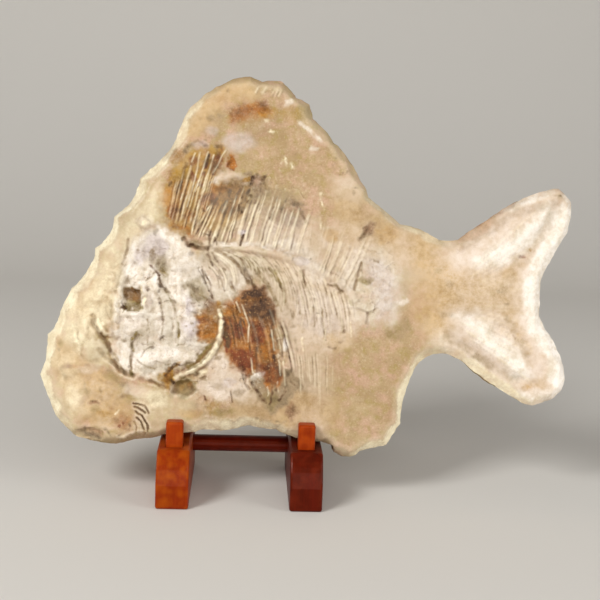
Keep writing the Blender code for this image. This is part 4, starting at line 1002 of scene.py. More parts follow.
CREASES = Crease.table(
    ("tip of the cleithrum", 1.5, 1.2, -48.4,78.5, -46.8,74, -46.2,70),
    ("cleithrum", 2.5, 2.3, -46.4,72.5, -47.5,62.5, -52,54, -57,48.5, -64.5,44, -72.5,40.5,
     -75,38),
    ("gill slit", 3.4, -1.7, -51.5,61, -56,55.5, -61,51, -66.5,47),
    ("skull front", 2.6, 1.5, -95,121, -98.5,110.5, -103.5,98.5, -107,87.5, -109,75, -107.5,65),
    ("cheek fold 2", 2.4, 1.1, -75,107.5, -70.5,94, -70.5,79, -73.5,64.5),
    ("cheek plate edge", 1.8, -0.8, -79.5,91, -75,83, -72.5,74.5, -72,65, -73.5,60.5),
    ("cheek plate", 2.6, 1.1, -83,90, -79,82, -77,72, -77.5,62),
    ("cheek fold 3", 1.8, 0.8, -88.5,85.5, -87.5,73.5, -88.5,59),
    ("lower edge of the head", 2.2, -0.6, -102.5,43.5, -95,39.5, -86,36.5, -80.5,33.5),
    ("rib behind the gill", 1.3, 0.7, -42.5,89.5, -39,81.5, -37,71.5, -38.5,58),
    ("gill cover edge", 1.4, -1.2, -87,105, -83.5,100.5, -81,95.5, -79,91, -75.5,87, -73.5,83),
    ("cheek suture", 0.9, -0.5, -83.5,86.5, -82,82.5, -81.5,76, -81,62),
    ("gape", 2.8, -2.2, -122,76.5, -121,70.5, -116.5,64, -113,59, -112,54.5),
    ("lower gape", 2.4, -1.5, -118,56.5, -114.5,52.5, -109.5,49, -106.5,45, -103,42.5, -99,41),
    ("tooth plate", 2.4, 1.6, -119.5,73.5, -117,69.5, -115,66),
    ("lower jaw", 1.4, 1, -113.5,56.5, -109.5,51.5, -106.5,46.5),
    ("quadrate", 3.8, 1.8, -103.5,63.5, -102.5,56.5, -103,49.5, -101,44),
    ("quadrate edge", 1.3, -1.3, -95.5,65, -99,60.5, -99,55, -100,49, -99.5,42),
    ("snout groove", 1.4, -1, -100.5,121.5, -101.5,115.5, -102.5,111, -104.5,107),
    ("skull notch", 1.6, -1, -85,116, -85,110.5, -86.5,106),
    ("back of the orbit", 1.8, 1.3, -92.5,93, -92.5,86.5, -92,80),
    ("floor of the orbit", 1.8, 1, -102.5,78, -96.5,76.5, -90.5,78.5),
    ("front of the orbit", 3.2, 1.6, -110,88, -109,81, -107.5,74),
    ("shoulder", 2, -1.2, -68,121.5, -66,118, -61,115.5, -54,115),
    ("nape crack", 1.1, -0.5, -53,126, -53,120, -54,111),
    ("throat edge", 1.6, -0.6, -89,38, -83,35, -78,33),
    ("backbone", 3.2, 1.4, -55,118, -44,116, -29,114.5, -14.5,111.5, 0.5,106.5, 13.5,100.5, 27,92,
     31.5,83.5),
    ("rib gap 1", 1.4, -0.9, -40,109.5, -35,103.5, -30.5,94.5),
    ("rib gap 2", 1.2, -0.8, -37,107, -32.5,101, -27.5,92),
    ("rib gap 3", 1.3, -1.1, -18,102.5, -14,97, -10,90),
    ("rib gap 4", 1.1, -1, 2.5,101.5, 3,91.5),
    ("chalk crack 1", 1.2, -1.1, 16.5,93, 20,91.5, 25,88.5),
    ("chalk crack 2", 1.3, -1, 36.5,105, 34,97, 32,89.5),
    ("chalk crack 3", 1.1, -0.45, 27.5,79, 35.5,78, 40,75.5, 46,78),
    ("chalk crack 4", 1.3, -0.6, 39.5,75.5, 39,69.5),
    ("scar of the back fin", 1.6, -1.1, 36.5,119, 39.5,123, 43.5,129),
    ("upper leading groove", 4.5, -1.5, 97.5,112.5, 120.5,128, 139,136.5, 155,139.5),
    ("upper ray swell", 9, 1.6, 102,105, 120.5,116, 135.5,125, 150,134),
    ("upper valley", 8, -2.3, 117,97, 127.5,103.5, 134,107.5, 140,113.5, 151,126, 155.5,134.5),
    ("lower leading groove", 4.5, -1.8, 87.5,61.5, 96,57, 103.5,52.5, 112.5,44.5, 124.5,36.5,
     139.5,31.5),
    ("lower ray swell", 8, 1.5, 92,69.5, 107,61.5, 121.5,47.5, 133.5,38),
    ("lower valley", 8, -2.2, 119,64, 127.5,60.5, 132,55.5, 137,50.5, 145.5,41, 148,34),
    ("shell arc 1", 0.9, -1.4, -99,25, -95.5,24.5, -92.5,23.5, -90,19),
    ("shell arc 2", 0.9, -1.4, -98.5,23, -95,21.5, -92,19.5),
    ("shell arc 3", 0.9, -1.4, -97.5,20, -94,17.5, -91,13, -90.5,7.5),
    ("shell arc 4", 0.9, -1.4, -97,16.5, -94.5,14, -93,10, -92.5,7),
    ("shell arc 5", 0.8, -0.8, -99,14.5, -97.5,11, -97.5,6.5),
    ("belly seam", 1, -1, -32.5,39.5, -33.5,35, -30.5,32),
    ("cut 1", 0.8, -1.2, -33,123, -35,116.5),
    ("cut 2", 0.8, -0.9, -42,31, -41,24.5),
    ("cut 3", 0.9, -1, -57.5,103, -55.5,95),
)

SWELLINGS = Swelling.table(
    ("eye pit", -98.5,86, 7.3,7.4, 0, -3, 5),
    ("pit beside the eye", -89.5,91.5, 1.8,1.8, 0, -1.2),
    ("snout hollow", -116,79.5, 9,8, 0, -1.5),
    ("chin", -121.5,57.5, 9,8, 20, 2.8),
    ("lip", -127.5,68.5, 3.5,9, -12, 1.6),
    ("brow", -88,110, 14,11, 30, 1.9),
    ("cheek", -71.5,70.5, 12,26, 5, 2.2),
    ("nape knob", -91.5,131, 3.6,3.6, 0, 1.3),
    ("forehead", -94,103, 9,14, -10, 1.2),
    ("jaw cheek", -90,55, 9,14, 0, 1.6),
    ("throat pit", -69,33.5, 7.2,6, 0, -2.2),
    ("gill pocket", -78.5,39.5, 4.2,7, -30, -1.3),
    ("scute pit 1", -62,42, 3,1.8, 10, -0.8),
    ("scute pit 2", -57.5,39, 3.2,1.9, 10, -0.8),
    ("lilac boss", -66,72, 5,12, 0, 1),
    ("chalk knob", -9,56.5, 3,5, 0, 0.8),
    ("belly skin", -43.5,34.5, 19,15, 0, 0.9),
    ("flank chalk", 44,98, 17,26, 10, 0.9),
    ("tail wedge", 106,82, 26,10, 0, 1.8),
    ("lower left swell", -124,30.5, 20,15, 0, 1.4),
    ("lower left lump 1", -136,48, 9,8, 30, 1.6),
    ("lower left lump 2", -128.5,40, 8,5, 10, -0.9),
    ("lower left lump 3", -118,34, 9,6, -20, 1.3),
    ("lower left lump 4", -107,33, 7,5, 10, 0.9),
    ("lower left lump 5", -114,18, 9,5, 10, 1.1),
    ("lower left lump 6", -131,20, 8,6, -20, 1),
    ("under the head", -92,30, 10,5, -10, 0.9),
    ("snout plate", -122,92, 11,9, 40, 1.2),
    ("snout dip", -128,79, 7,6, 20, -0.9),
    ("forehead plate", -108.5,118, 6,13, -25, 0.9),
    ("brow pit", -81,106, 4,6, 10, -1),
    ("forehead pit 1", -97,113, 3.5,3, 0, -0.9),
    ("temple", -66,100, 9,9, 20, 1.1),
    ("temple dip", -61,88, 5,6, 0, -1.2),
    ("jaw dip", -96,71, 5,5, 0, -1),
    ("edge chip", -124,7.5, 10.5,3.4, -10, -2.6),
    ("crown swell", -28,191.5, 22,13, 20, 1),
)

SPINE_ROWS = (
    SpineRow("back fin spines", 24, 0.9, 0.45, 0,
             ((-63, 122), (-49.5, 117), (-29, 116), (-1, 110)),
             ((-50, 146), (-37, 153), (-22, 158), (-7, 152), (9, 139)),
             (0.75, 0.4), (1.0, 0.4), 1.3, 0.16, Tint.PLUM),
    SpineRow("hind back fin spines", 9, 1.0, 0.3, 0, ((3, 108), (27, 92)),
             ((8, 144), (24, 133), (38, 121)), (0.08, 0.04), (0.15, 0.1), 1.4, 0.5),
    SpineRow("rear fin rays", 10, 0.95, 0.4, -1.5, ((10, 98), (26, 89)), ((20, 127), (46, 128.5)),
             (0.35, 0.3), (0.65, 0.55), 1.0, 0.25),
    SpineRow("nape streaks", 14, 0.75, 0.5, 0, ((-78, 131), (-60, 122)), ((-69, 167), (-43, 173)),
             (0.35, 0.3), (1.0, 1.0), 1.2, 0.25, Tint.PLUM),
    SpineRow("ribs", 31, 0.8, 0.5, 7.5,
             ((-58, 109), (-52, 113), (-44, 113.5), (-23.5, 112), (-2, 106.5)),
             ((-50, 80), (-42, 86), (-33, 91), (-23, 91), (-17.5, 80), (-14, 70), (-4, 60),
              (8, 54.5)), (0.4, 0.3), (1.4, 1.1), 1.6, 0.3),
    SpineRow("fine ribs", 15, 0.6, 0.3, 7.5,
             ((-50, 111), (-30, 113.5), (-12, 109.5), (10, 101)),
             ((-30, 88), (-18, 76), (-8, 62), (12, 44)), (0.2, 0.15), (0.8, 0.6), 2.4, 0.5),
    SpineRow("tail ribs", 18, 0.8, 0.4, 2.5, ((-4, 106.5), (27, 91)), ((6, 50), (30.5, 58.5)),
             (0.35, 0.3), (0.95, 0.85), 1.8, 0.4),
    SpineRow("belly ribs", 12, 0.9, 0.5, 2, ((-43, 80), (-14, 80)), ((-38, 42), (-4, 28)),
             (0.05, 0.15), (0.9, 0.9), 2.2, 0.4, Tint.PLUM),
    SpineRow("rear ribs", 10, 0.65, 0.25, 0, ((-3, 62), (19, 53)), ((0.5, 12), (17, 16.5)),
             (0.35, 0.2), (0.8, 0.6), 1.6, 0.45),
    SpineRow("crown ridges", 6, 1.0, 0.7, 0, ((-25, 207), (-10, 205.5)),
             ((-21, 212.5), (-7.5, 211)), (0.5, 0.5), (0.6, 0.6)),
    SpineRow("upper tail rays", 17, 0.9, 0.16, 0, ((99, 99), (104, 84)), ((152, 144), (143, 88)),
             (0.3, 0.15), (0.16, 0.1), 1.6, 0.35),
    SpineRow("lower tail rays", 17, 0.9, 0.18, 0, ((93, 66), (104, 79)), ((148, 26), (143, 78)),
             (0.35, 0.15), (0.22, 0.1), 1.6, 0.35),
)

# Single long spines of the nape, each with the points it runs through
NAPE_SPINES = (
    ((-69.4, 144.2), (-67.5, 150.1), (-65, 158.4), (-63.2, 164.3)),
    ((-65.9, 140), (-64, 145.9), (-61.6, 154.8), (-59.7, 161.9), (-57.8, 172.6)),
    ((-61.1, 148.9), (-58, 157.2), (-54.9, 166.6), (-53, 172.6)),
    ((-57.5, 147.1), (-54.4, 157.1), (-52, 163), (-49.5, 170.8)),
    ((-50.3, 160.1), (-47.2, 164.8), (-44.8, 170.1), (-42.4, 173.1)),
    ((-62.6, 166.7), (-60.7, 172.1)),
    ((-68.9, 134.7), (-67.6, 141.2), (-65.8, 146.6)),
    ((-63.2, 124), (-61.9, 129.9), (-60.1, 137), (-58.2, 144.1)),
    ((-60.7, 134.6), (-58.8, 141.1)),
)
# Single ribs of the belly that show whole
BELLY_RIBS = (
    ((-34.4, 81.6), (-30.4, 69.7), (-31.2, 59.7)),
    ((-37.9, 83.4), (-35.6, 77.5)),
    ((-17.5, 66.5), (-15.9, 54.7)),
    ((-10.7, 47.5), (-9.8, 33.9)),
    ((-29.6, 50.2), (-28.5, 41.9)),
    ((-13.1, 48.7), (-12.6, 39.9)),
)

# ================================================================ the slab
# Corners, clockwise from the snout: u, v and the bow of the flake scar that leads there
# (plus bulges outwards, minus is a bite)
OUTLINE = (
    (-150.5, 51, 0), (-149, 66.5, 0), (-142, 80, -1.7), (-135, 93.5, 0),
    (-121, 112.5, -1.6), (-121, 117, 0), (-109.5, 135.5, -2.9), (-105.5, 138.5, 0),
    (-94, 158, -2.4), (-76, 175.5, -0.6), (-68, 193, -0.7), (-57.5, 205.5, 1),
    (-43.5, 214.5, 0.7), (-27.5, 219, 1.2), (-20, 216, 0), (-9.5, 216, 0.6),
    (0, 206, 1.2), (8, 201.5, 0.3), (10, 193, 0.3), (21.5, 180.5, 0.7),
    (22.5, 178.5, 0), (32, 167, 0.6), (41.5, 150, 0), (42.5, 145, 0),
    (50, 139, 0), (61.5, 129, 0.3), (73.5, 125.5, 0.4), (84.5, 119, 0),
    (96, 119, -0.7), (122, 136, 0), (155, 149, 1.5), (158, 149, 0),
    (165.5, 140.5, 0.8), (162, 121, 1.2), (146, 95, -0.3), (144.5, 72, -0.4),
    (150.5, 60.5, -0.6), (158, 42.5, 0.6), (157, 27.5, 1.2), (150.5, 22, 0.3),
    (138.5, 18.5, 0), (130.5, 21.5, 0.6), (110, 35, 0.2), (98, 44.5, 0),
    (84.5, 51, -1.2), (68, 41, -2.6), (59.5, 15, -0.8), (59, 9.5, 0),
    (50.5, -3, 0), (34.5, -6.5, 0), (28.5, -10, 0.3), (17, -5.5, 0.9),
    (11.5, -0.5, -0.8), (5, -0.5, 0), (-9.5, 4.5, 0.3), (-15.5, 7.5, 0.3),
    (-25, 8.5, 0), (-38, 8.5, -1.5), (-48.5, 7, 0), (-63.5, 7, -1.5),
    (-82.5, 6, 0.3), (-90, 4, 0.3), (-103, 2.5, -0.6), (-120.5, 2.5, 1.2),
    (-135, 7.5, 0.6), (-144.5, 17.5, 0), (-148.5, 28, 0.4), (-154, 43, 0),
)

# Places where the worked bevel is wider: u, v, reach, extra width
WIDE_RIMS = (
    (-133, 96, 45, 2.6), (-146, 42, 40, 2.0), (-84, 170, 45, 1.6), (-45, 6, 34, 2.6),
    (105, 42, 40, 2.2), (155, 45, 26, 1.2), (100, 128, 40, 1.4),
)

# Minerals of the worked bevel: tint, u, v, reach, strength
RIM_TONES = (
    (Tint.CREAM, -150, 60, 75, 1.0), (Tint.CREAM, -115, 125, 60, 0.9),
    (Tint.CREAM, -80, 180, 50, 0.7), (Tint.CREAM, -40, 6, 60, 0.7),
    (Tint.CHALK, 156, 60, 60, 1.0), (Tint.CHALK, 152, 120, 40, 1.0),
    (Tint.CREAM, 112, 30, 40, 0.7), (Tint.CREAM, 62, 15, 60, 0.95),
    (Tint.CREAM, 20, 190, 50, 0.12), (Tint.CREAM, 60, 132, 50, 0.35),
    (Tint.AMBER, 105, 128, 24, 0.25), (Tint.SHADE, -105, 4, 34, 0.3),
)

# Where bone and film have flaked: u, v, half length, half width, turn, strength
FLAKY_ZONES = (
    (-82, 78, 36, 46, 0, 1.0), (-45, 36, 24, 17, 10, 0.7), (44, 96, 19, 28, 10, 0.6),
    (-28, 62, 20, 42, 20, 0.8), (-30, 140, 44, 22, 10, 0.45), (-66, 148, 16, 26, -20, 0.5),
    (10, 75, 30, 36, 0, 0.4), (-20, 195, 26, 12, 0, 0.3),
)


@dataclass(frozen=True)
class Limestone:
    """Fine pale limestone: matt, warm and a little powdery, with the fossil's minerals.

    Sizes are those of its patterns, in millimetres. Ranges are what a noise is spread over.
    """
    pale: str = "#BCA27A"
    deep: str = "#A58860"
    bloom: str = "#CCA58D"
    moss: str = "#A69056"
    dot: str = "#8E7452"
    fleck: str = "#F4E6CC"
    # colour of dust and painted shade in the relief's hollows
    dust_and_shade: str = "#9A8060"
    worn: str = "#F6E8CE"
    # pale gold specks painted on the bone as painted glints
    painted_glint: str = "#D9B173"
    bloom_range: Place = (-0.4, 0.75)
    moss_range: Place = (-0.6, 0.7)
    dot_cover: float = 0.36
    fleck_cover: float = 0.18
    # how strongly the hollows get dust and painted shade, and the bone painted glints
    dust_and_shade_cover: float = 0.7
    painted_glint_cover: float = 0.7
    wobble_range: Place = (0.8, 1.36)
    break_range: Place = (0.85, 1.25)
    fine_range: Place = (-0.25, 0.7)
    wide_range: Place = (-0.35, 0.65)
    cloud_size: float = 30.0
    mottle_size: float = 5.0
    patch_size: float = 3.6
    speck_size: float = 1.1
    grain_size: float = 0.5
    roughness: float = 0.86
    bone_roughness: float = 0.62
    powdery: float = 0.25
    refraction: float = 1.5
    pit_depth: float = 0.5
    sand_depth: float = 0.2

    def noise(self, tree: Tree, coords: Socket, size: float,
              detail: float, shift: float) -> Socket:
        """Noise of one size.

        Args:
            tree: the material's nodes.
            coords: object coordinates, in metres.
            size: of its bumps, in millimetres.
            detail: number of finer layers.
            shift: moves the pattern, so that two of them differ.

        Returns:
            The noise, about 0.3 to 0.7.
        """
        moved = add_node(tree, "Mapping", {"Vector": coords, "Location": (shift, shift, 0.0)})
        node = add_node(tree, "TexNoise", {"Vector": moved.outputs[0], "Scale": 1 / (size * MM),
                                           "Detail": detail, "Roughness": 0.6})
        return node.outputs["Fac"]

    def build(self) -> Material:
        """Build the material.

        Returns:
            The material, which reads the slab's masks.
        """
        material, tree, shader = new_material("pale_limestone")
        coords = add_node(tree, "TexCoord").outputs["Object"]
        cloud = self.noise(tree, coords, self.cloud_size, 3.0, 0.0)
        mottle = self.noise(tree, coords, self.mottle_size, 4.0, 0.31)
        blotch = self.noise(tree, coords, self.mottle_size * 2.4, 5.0, 0.73)
        speck = self.noise(tree, coords, self.speck_size, 3.0, 0.17)
        grain = self.noise(tree, coords, self.grain_size, 2.0, 0.53)

        colour = blend(tree, spread(tree, cloud, NOISE_RANGE, 0.0, 1.0), linear(self.pale),
                       linear(self.deep))
        for noise, reach, shade in ((blotch, self.bloom_range, self.bloom),
                                    (mottle, self.moss_range, self.moss)):
            colour = blend(tree, spread(tree, noise, NOISE_RANGE, *reach), colour,
                           linear(shade))
        dots = spread(tree, speck, (0.55, 0.72), 0.0, self.dot_cover)
        colour = blend(tree, dots, colour, linear(self.dot))
        flecks = spread(tree, speck, (0.45, 0.3), 0.0, self.fleck_cover)
        colour = blend(tree, flecks, colour, linear(self.fleck))
        # the relief's hollows get dust and painted shade; its crests get paler wear
        hollow = add_node(tree, "Attribute", attribute_name="hollow").outputs["Fac"]
        crest = add_node(tree, "Attribute", attribute_name="crest").outputs["Fac"]
        colour = blend(tree, hollow, colour, linear(self.dust_and_shade), "MULTIPLY")
        colour = blend(tree, crest, colour, linear(self.worn))

        # the minerals, with covers that wobble and break up and shades that wander
        gain = add_node(tree, "Math", {0: spread(tree, mottle, NOISE_RANGE, *self.wobble_range),
                                       1: spread(tree, speck, NOISE_RANGE, *self.break_range)},
                        operation="MULTIPLY").outputs[0]
        patchy = self.noise(tree, coords, self.patch_size, 5.0, 0.91)
        shades = add_node(tree, "Math", {0: spread(tree, patchy, NOISE_RANGE, *self.fine_range),
                                         1: spread(tree, blotch, NOISE_RANGE, *self.wide_range)},
                          operation="ADD", use_clamp=True).outputs[0]
        bones = []
        for tint in Tint:
            mask = add_node(tree, "Attribute", attribute_name=tint.layer).outputs["Fac"]
            cover = add_node(tree, "Math", {0: mask, 1: gain}, operation="MULTIPLY",
                             use_clamp=True).outputs[0]
            light, dark = (linear(shade) for shade in tint.value)
            colour = blend(tree, cover, colour, blend(tree, shades, light, dark))
            if tint in (Tint.AMBER, Tint.RUST):
                bones.append(cover)
        bone = add_node(tree, "Math", dict(enumerate(bones)), operation="MAXIMUM").outputs[0]
        # painted glints: pale specks on the amber and rust bone
        painted_glints = add_node(tree, "Math", {0: spread(tree, speck, (0.36, 0.3), 0.0,
                                                   self.painted_glint_cover), 1: bone},
                          operation="MULTIPLY").outputs[0]
        colour = blend(tree, painted_glints, colour, linear(self.painted_glint))
        # the hollows darkened once more with dust and painted shade
        dust_and_shade = add_node(tree, "Math", {0: hollow, 1: self.dust_and_shade_cover}, operation="MULTIPLY")
        colour = blend(tree, dust_and_shade.outputs[0], colour, linear(self.dust_and_shade), "MULTIPLY")
        tree.links.new(colour, shader.inputs["Base Color"])
        tree.links.new(spread(tree, bone, (0.0, 1.0), self.roughness, self.bone_roughness),
                       shader.inputs["Roughness"])
        shader.inputs["IOR"].default_value = self.refraction
        shader.inputs["Specular IOR Level"].default_value = self.powdery
        pitted = add_node(tree, "Bump", {"Height": speck, "Strength": 0.55,
                                         "Distance": self.pit_depth * MM})
        sandy = add_node(tree, "Bump", {"Height": grain, "Strength": 0.5,
                                        "Distance": self.sand_depth * MM,
                                        "Normal": pitted.outputs[0]})
        tree.links.new(sandy.outputs[0], shader.inputs["Normal"])
        return material


@dataclass(frozen=True)
class FossilSlab:
    """The stone, from its outline and its relief to its mesh and its minerals.

    A noise is (depth, size of its bumps, seed) of each layer, and so is a stray, which shifts
    what is drawn.
    """
    thickness: float = 24.0
    tail_thickness: float = 15.0
    tail_start: float = 62.0
    tail_thin: float = 100.0
    lean: float = 12.0
    turn: float = 2.6
    mid_x: float = 36.5
    bottom_back: float = -1.0
    bottom_rise: float = 2.4
    seat_margin: float = 7.0
    back_margin: float = 15.0
    rest_gap: float = 0.3
    rim: float = 4.6
    rim_drop: float = 6.5
    rim_curve: float = 1.35
    tail_rim_share: float = 0.58
    wall_inset: float = 0.7
    back_inset: float = 2.8
    dome_height: float = 2.2
    dome_reach: float = 55.0
    stone_noise: tuple = ((0.5, 23.0, 1), (0.3, 9.0, 2))
    bone_noise: tuple = ((0.9, 9.0, 21), (0.55, 4.6, 22))
    fine_noise: tuple = ((0.1, 3.1, 31), (0.07, 1.5, 32))
    rim_noise: tuple = ((0.16, 5.0, 41), (0.22, 11.0, 3))
    facet_noise: tuple = ((0.35, 5.5, 43), (0.22, 2.4, 44))
    matrix_flakes: float = 0.16
    flakes: tuple = ((0.5, 7.5, 201), (0.34, 3.4, 211), (0.16, 1.7, 221))
    back_noise: tuple = ((1.6, 19.0, 9), (0.5, 6.0, 10))
    skull: tuple = (-82, 78, 42, 50, 0)
    chip_noise: tuple = ((0.7, 9.0, 5), (0.4, 4.0, 6), (0.15, 1.8, 7))
    edge_noise: tuple = ((0.3, 4.0, 11), (0.2, 1.9, 12))
    crease_stray: tuple = ((0.4, 3.6, 51), (0.18, 1.4, 52))
    row_stray: tuple = ((0.28, 5.0, 53), (0.1, 1.6, 54))
    plate_stray: tuple = ((1.1, 5.5, 55), (0.5, 2.1, 56))
    spine_stray: tuple = ((0.22, 6.0, 57), (0.08, 1.6, 58))
    area_stray: tuple = ((1.4, 7.0, 81), (1.2, 3.0, 82), (0.7, 1.3, 83))
    spot_stray: tuple = ((1.0, 4.0, 91), (0.5, 1.6, 92))
    stroke_stray: tuple = ((0.5, 3.0, 101), (0.3, 1.2, 102))
    nape_rise: float = 0.55
    belly_rise: float = 0.5
    spine_half_width: float = 0.75
    hollow_rounds: int = 6
    sharp_angle: float = 48.0
    ring_step: float = 1.1
    wall_rings: int = 10
    fine_cell: float = 0.64
    plain_cell: float = 1.15
    back_cell: float = 4.0
    area: tuple = (-160, 170, -15, 225)
    fossil_area: tuple = ((-132, 62), (-126, 86), (-112, 108), (-98, 138), (-84, 158),
                          (-64, 182), (-40, 179), (-28, 165), (4, 158), (46, 134), (58, 104),
                          (52, 60), (28, 40), (22, 8), (-40, 6), (-62, 20), (-108, 3), (-122, 36))

    # ------------------------------------------------------------ outline
    def ring(self, step: float) -> tuple[Array, Array]:
        """Points of the outline.

        Args:
            step: their spacing.

        Returns:
            The points, and how far each lies along its flake, 0 at its ends.
        """
        points = []
        bites = []
        for index, (u, v, bow) in enumerate(OUTLINE):
            start = np.array(OUTLINE[index - 1][:2], float)
            chord = np.array((u, v)) - start
            length = float(np.hypot(*chord))
            side = np.array((-chord[1], chord[0])) / length
            count = max(1, round(length / step))
            along = np.arange(count) / count
            lift = bow * 4.0 * along * (1.0 - along)
            points.append(start + along[:, None] * chord + lift[:, None] * side)
            bites.append(np.sin(math.pi * along) * min(1.0, length / 18.0))
        return np.concatenate(points), np.concatenate(bites)

    def normals(self, ring: Array, smoothing: int) -> Array:
        """Outward directions of the outline.

        Args:
            ring: its points.
            smoothing: how often they are averaged with their neighbours.

        Returns:
            One direction for each point.
        """
        chord = np.roll(ring, -1, axis=0) - np.roll(ring, 1, axis=0)
        normals = np.column_stack((-chord[:, 1], chord[:, 0]))
        normals /= np.hypot(*normals.T)[:, None]
        for _ in range(smoothing):
            normals = normals + np.roll(normals, 1, axis=0) + np.roll(normals, -1, axis=0)
            normals /= np.hypot(*normals.T)[:, None]
        return normals

    def tail_share(self, points: Array) -> Array:
        """0 on the body, 1 on the tail."""
        return smooth_step((points[:, 0] - self.tail_start) / (self.tail_thin - self.tail_start))

    def depth(self, points: Array) -> Array:
        """Thickness of the slab at each point."""
        return self.thickness + (self.tail_thickness - self.thickness) * self.tail_share(points)

    def rim_width(self, points: Array, bite: Array) -> Array:
        """Width of the worked bevel near each point.

        Args:
            points: places, one row each.
            bite: how far along its flake each lies.

        Returns:
            One width for each point.
        """
        width = np.full(len(points), self.rim)
        for u, v, reach, extra in WIDE_RIMS:
            near = np.hypot(points[:, 0] - u, points[:, 1] - v)
            width += extra * smooth_step(1.0 - near / reach)
        width *= 0.78 + 0.45 * bite
        return width * (1.0 + rough_surface(points, self.rim_noise))

    # ------------------------------------------------------------ relief
    def strayed(self, points: Array, layers: tuple) -> Array:
        """Shift the points a little, so that what is drawn through them wanders.

        Args:
            points: places, one row each.
            layers: (shift, size of its swerves, seed) of each layer.

        Returns:
            The shifted points.
        """
        other = tuple((shift, cell, seed + 0.37) for shift, cell, seed in layers)
        return points + np.column_stack((rough_surface(points, layers),
                                         rough_surface(points, other)))

    def relief(self, points: Array, ring: Array, bites: Array) -> tuple[Array, Array, dict]:
        """Shape the front.

        Args:
            points: places on it, one row each.
            ring: the outline.
            bites: how far along its flake each of the outline's points lies.

        Returns:
            The height at each point, how far down the bevel it lies, and the masks.
        """
        gap, nearest = segment_distance(points, ring, np.roll(ring, -1, axis=0))
        strayed = self.strayed(points, self.crease_stray)
        swayed = self.strayed(points, self.row_stray)
        loose = self.strayed(points, self.plate_stray)
        height = self.dome_height * smooth_step(gap / self.dome_reach)
        height += rough_surface(points, self.stone_noise + self.fine_noise)
        skull = smooth_step(1.5 - 1.5 * oval_radius(points, *self.skull) ** 2)
        for depth, cell, seed in self.bone_noise:
            height += skull * depth * (0.8 - 2.2 * abs(lattice_noise(loose, cell, seed)))
        flaky = np.full(len(points), self.matrix_flakes)
        for u, v, half_long, half_wide, turn, strength in FLAKY_ZONES:
            near = oval_radius(strayed, u, v, half_long, half_wide, turn)
            flaky = np.maximum(flaky, strength * smooth_step(1.8 * (1.15 - near)))
        for depth, cell, seed in self.flakes:
            plates, cracks = flaked(loose, cell, seed)
            height += flaky * depth * (plates - 0.15 * cracks)
        for lump in SWELLINGS:
            sharpness = 1.6 if lump.height <= -2.0 else 1.0
            radius = oval_radius(loose, *lump.middle, *lump.half_size, lump.turn, lump.power)
            height += lump.height * smooth_step(sharpness * (1.0 - radius ** 2))
        for crease in CREASES:
            line = np.array(crease.line, float)
            found = near_line(strayed, line, crease.half_width)
            away, _ = segment_distance(strayed[found], line[:-1], line[1:])
            sway = 0.9 + 0.25 * lattice_noise(points[found], 4.5, crease.half_width)
            height[found] += crease.height * sway * ridge_profile(away, crease.half_width)
        cream = np.zeros(len(points))
        gaps = {row.gap: np.zeros(len(points)) for row in SPINE_ROWS}
        lively = 0.8 + 0.35 * lattice_noise(points, 7.0, 71) + 0.2 * lattice_noise(points, 2.6, 72)
        for row in SPINE_ROWS:
            crests, pale, dark = row.shape(swayed)
            height += row.height * crests * lively
            cream = np.maximum(cream, pale * lively)
            # valleys beside the spines: darker stone with a painted shadow
            gaps[row.gap] = np.maximum(gaps[row.gap], dark * (1.6 - lively))
        straight = self.strayed(points, self.spine_stray)
        for spines, rise in ((NAPE_SPINES, self.nape_rise), (BELLY_RIBS, self.belly_rise)):
            for spine in spines:
                line = np.array(spine, float)
                found = near_line(straight, line, 1.2)
                away, _ = segment_distance(straight[found], line[:-1], line[1:])
                crest = ridge_profile(away, self.spine_half_width)
                crest *= 0.75 + 0.45 * lattice_noise(points[found], 3.4, rise)
                height[found] += rise * crest
                cream[found] = np.maximum(cream[found], 1.15 * rise * crest)
        bite = bites[nearest.astype(int) % len(bites)]
        fall = 1.0 - np.clip(gap / self.rim_width(points, bite), 0.0, 1.0)
        rim_share = 1.0 + (self.tail_rim_share - 1.0) * self.tail_share(points)
        height -= self.rim_drop * rim_share * fall ** self.rim_curve
        height += smooth_step(3.0 * fall) * rough_surface(points, self.facet_noise)
        return height, fall, self.masks(points, fall, cream, gaps)

    def masks(self, points: Array, fall: Array, cream: Array,
              gaps: dict[Tint, Array]) -> dict[str, Array]:
        """Lay the stains on the front.

        Args:
            points: places on it, one row each.
            fall: 0 inside the bevel, 1 at the outline.
            cream: cover of the spines' crests.
            gaps: cover of the valleys between them, by its tint; partly painted shadow.

        Returns:
            The cover of each point, 0 to 1, by the name of its layer.
        """
        layers = {tint: np.zeros(len(points)) for tint in Tint}
        strays = {Area: self.strayed(points, self.area_stray),
                  Spot: self.strayed(points, self.spot_stray),
                  Stroke: self.strayed(points, self.stroke_stray)}
        for stain in STAINS:
            found, cover = stain.cover(strays[type(stain)])
            layer = layers[stain.tint]
            layer[found] = 1.0 - (1.0 - layer[found]) * (1.0 - cover)
        layers[Tint.CREAM] = np.maximum(layers[Tint.CREAM], cream)
        # the valleys and their painted shadow join their tints' layers
        for tint, cover in gaps.items():
            layers[tint] = np.maximum(layers[tint], cover)
        for tint, u, v, reach, strength in RIM_TONES:
            near = smooth_step(1.4 * (1.0 - np.hypot(points[:, 0] - u, points[:, 1] - v) / reach))
            cover = strength * near * smooth_step(2.6 * fall)
            layers[tint] = np.maximum(layers[tint], cover)
        return {tint.layer: layer for tint, layer in layers.items()}

    # ------------------------------------------------------------ mesh
    def grid(self, cell: float) -> Array:
        """Staggered rows of points over the slab's area, one cell apart."""
        u0, u1, v0, v1 = self.area
        rows = []
        row_step = cell * math.sqrt(3) / 2
        for row in range(int((v1 - v0) / row_step) + 1):
            u = np.arange(u0 + 0.5 * cell * (row % 2), u1, cell)
            rows.append(np.column_stack((u, np.full(len(u), v0 + row * row_step))))
        return np.concatenate(rows)

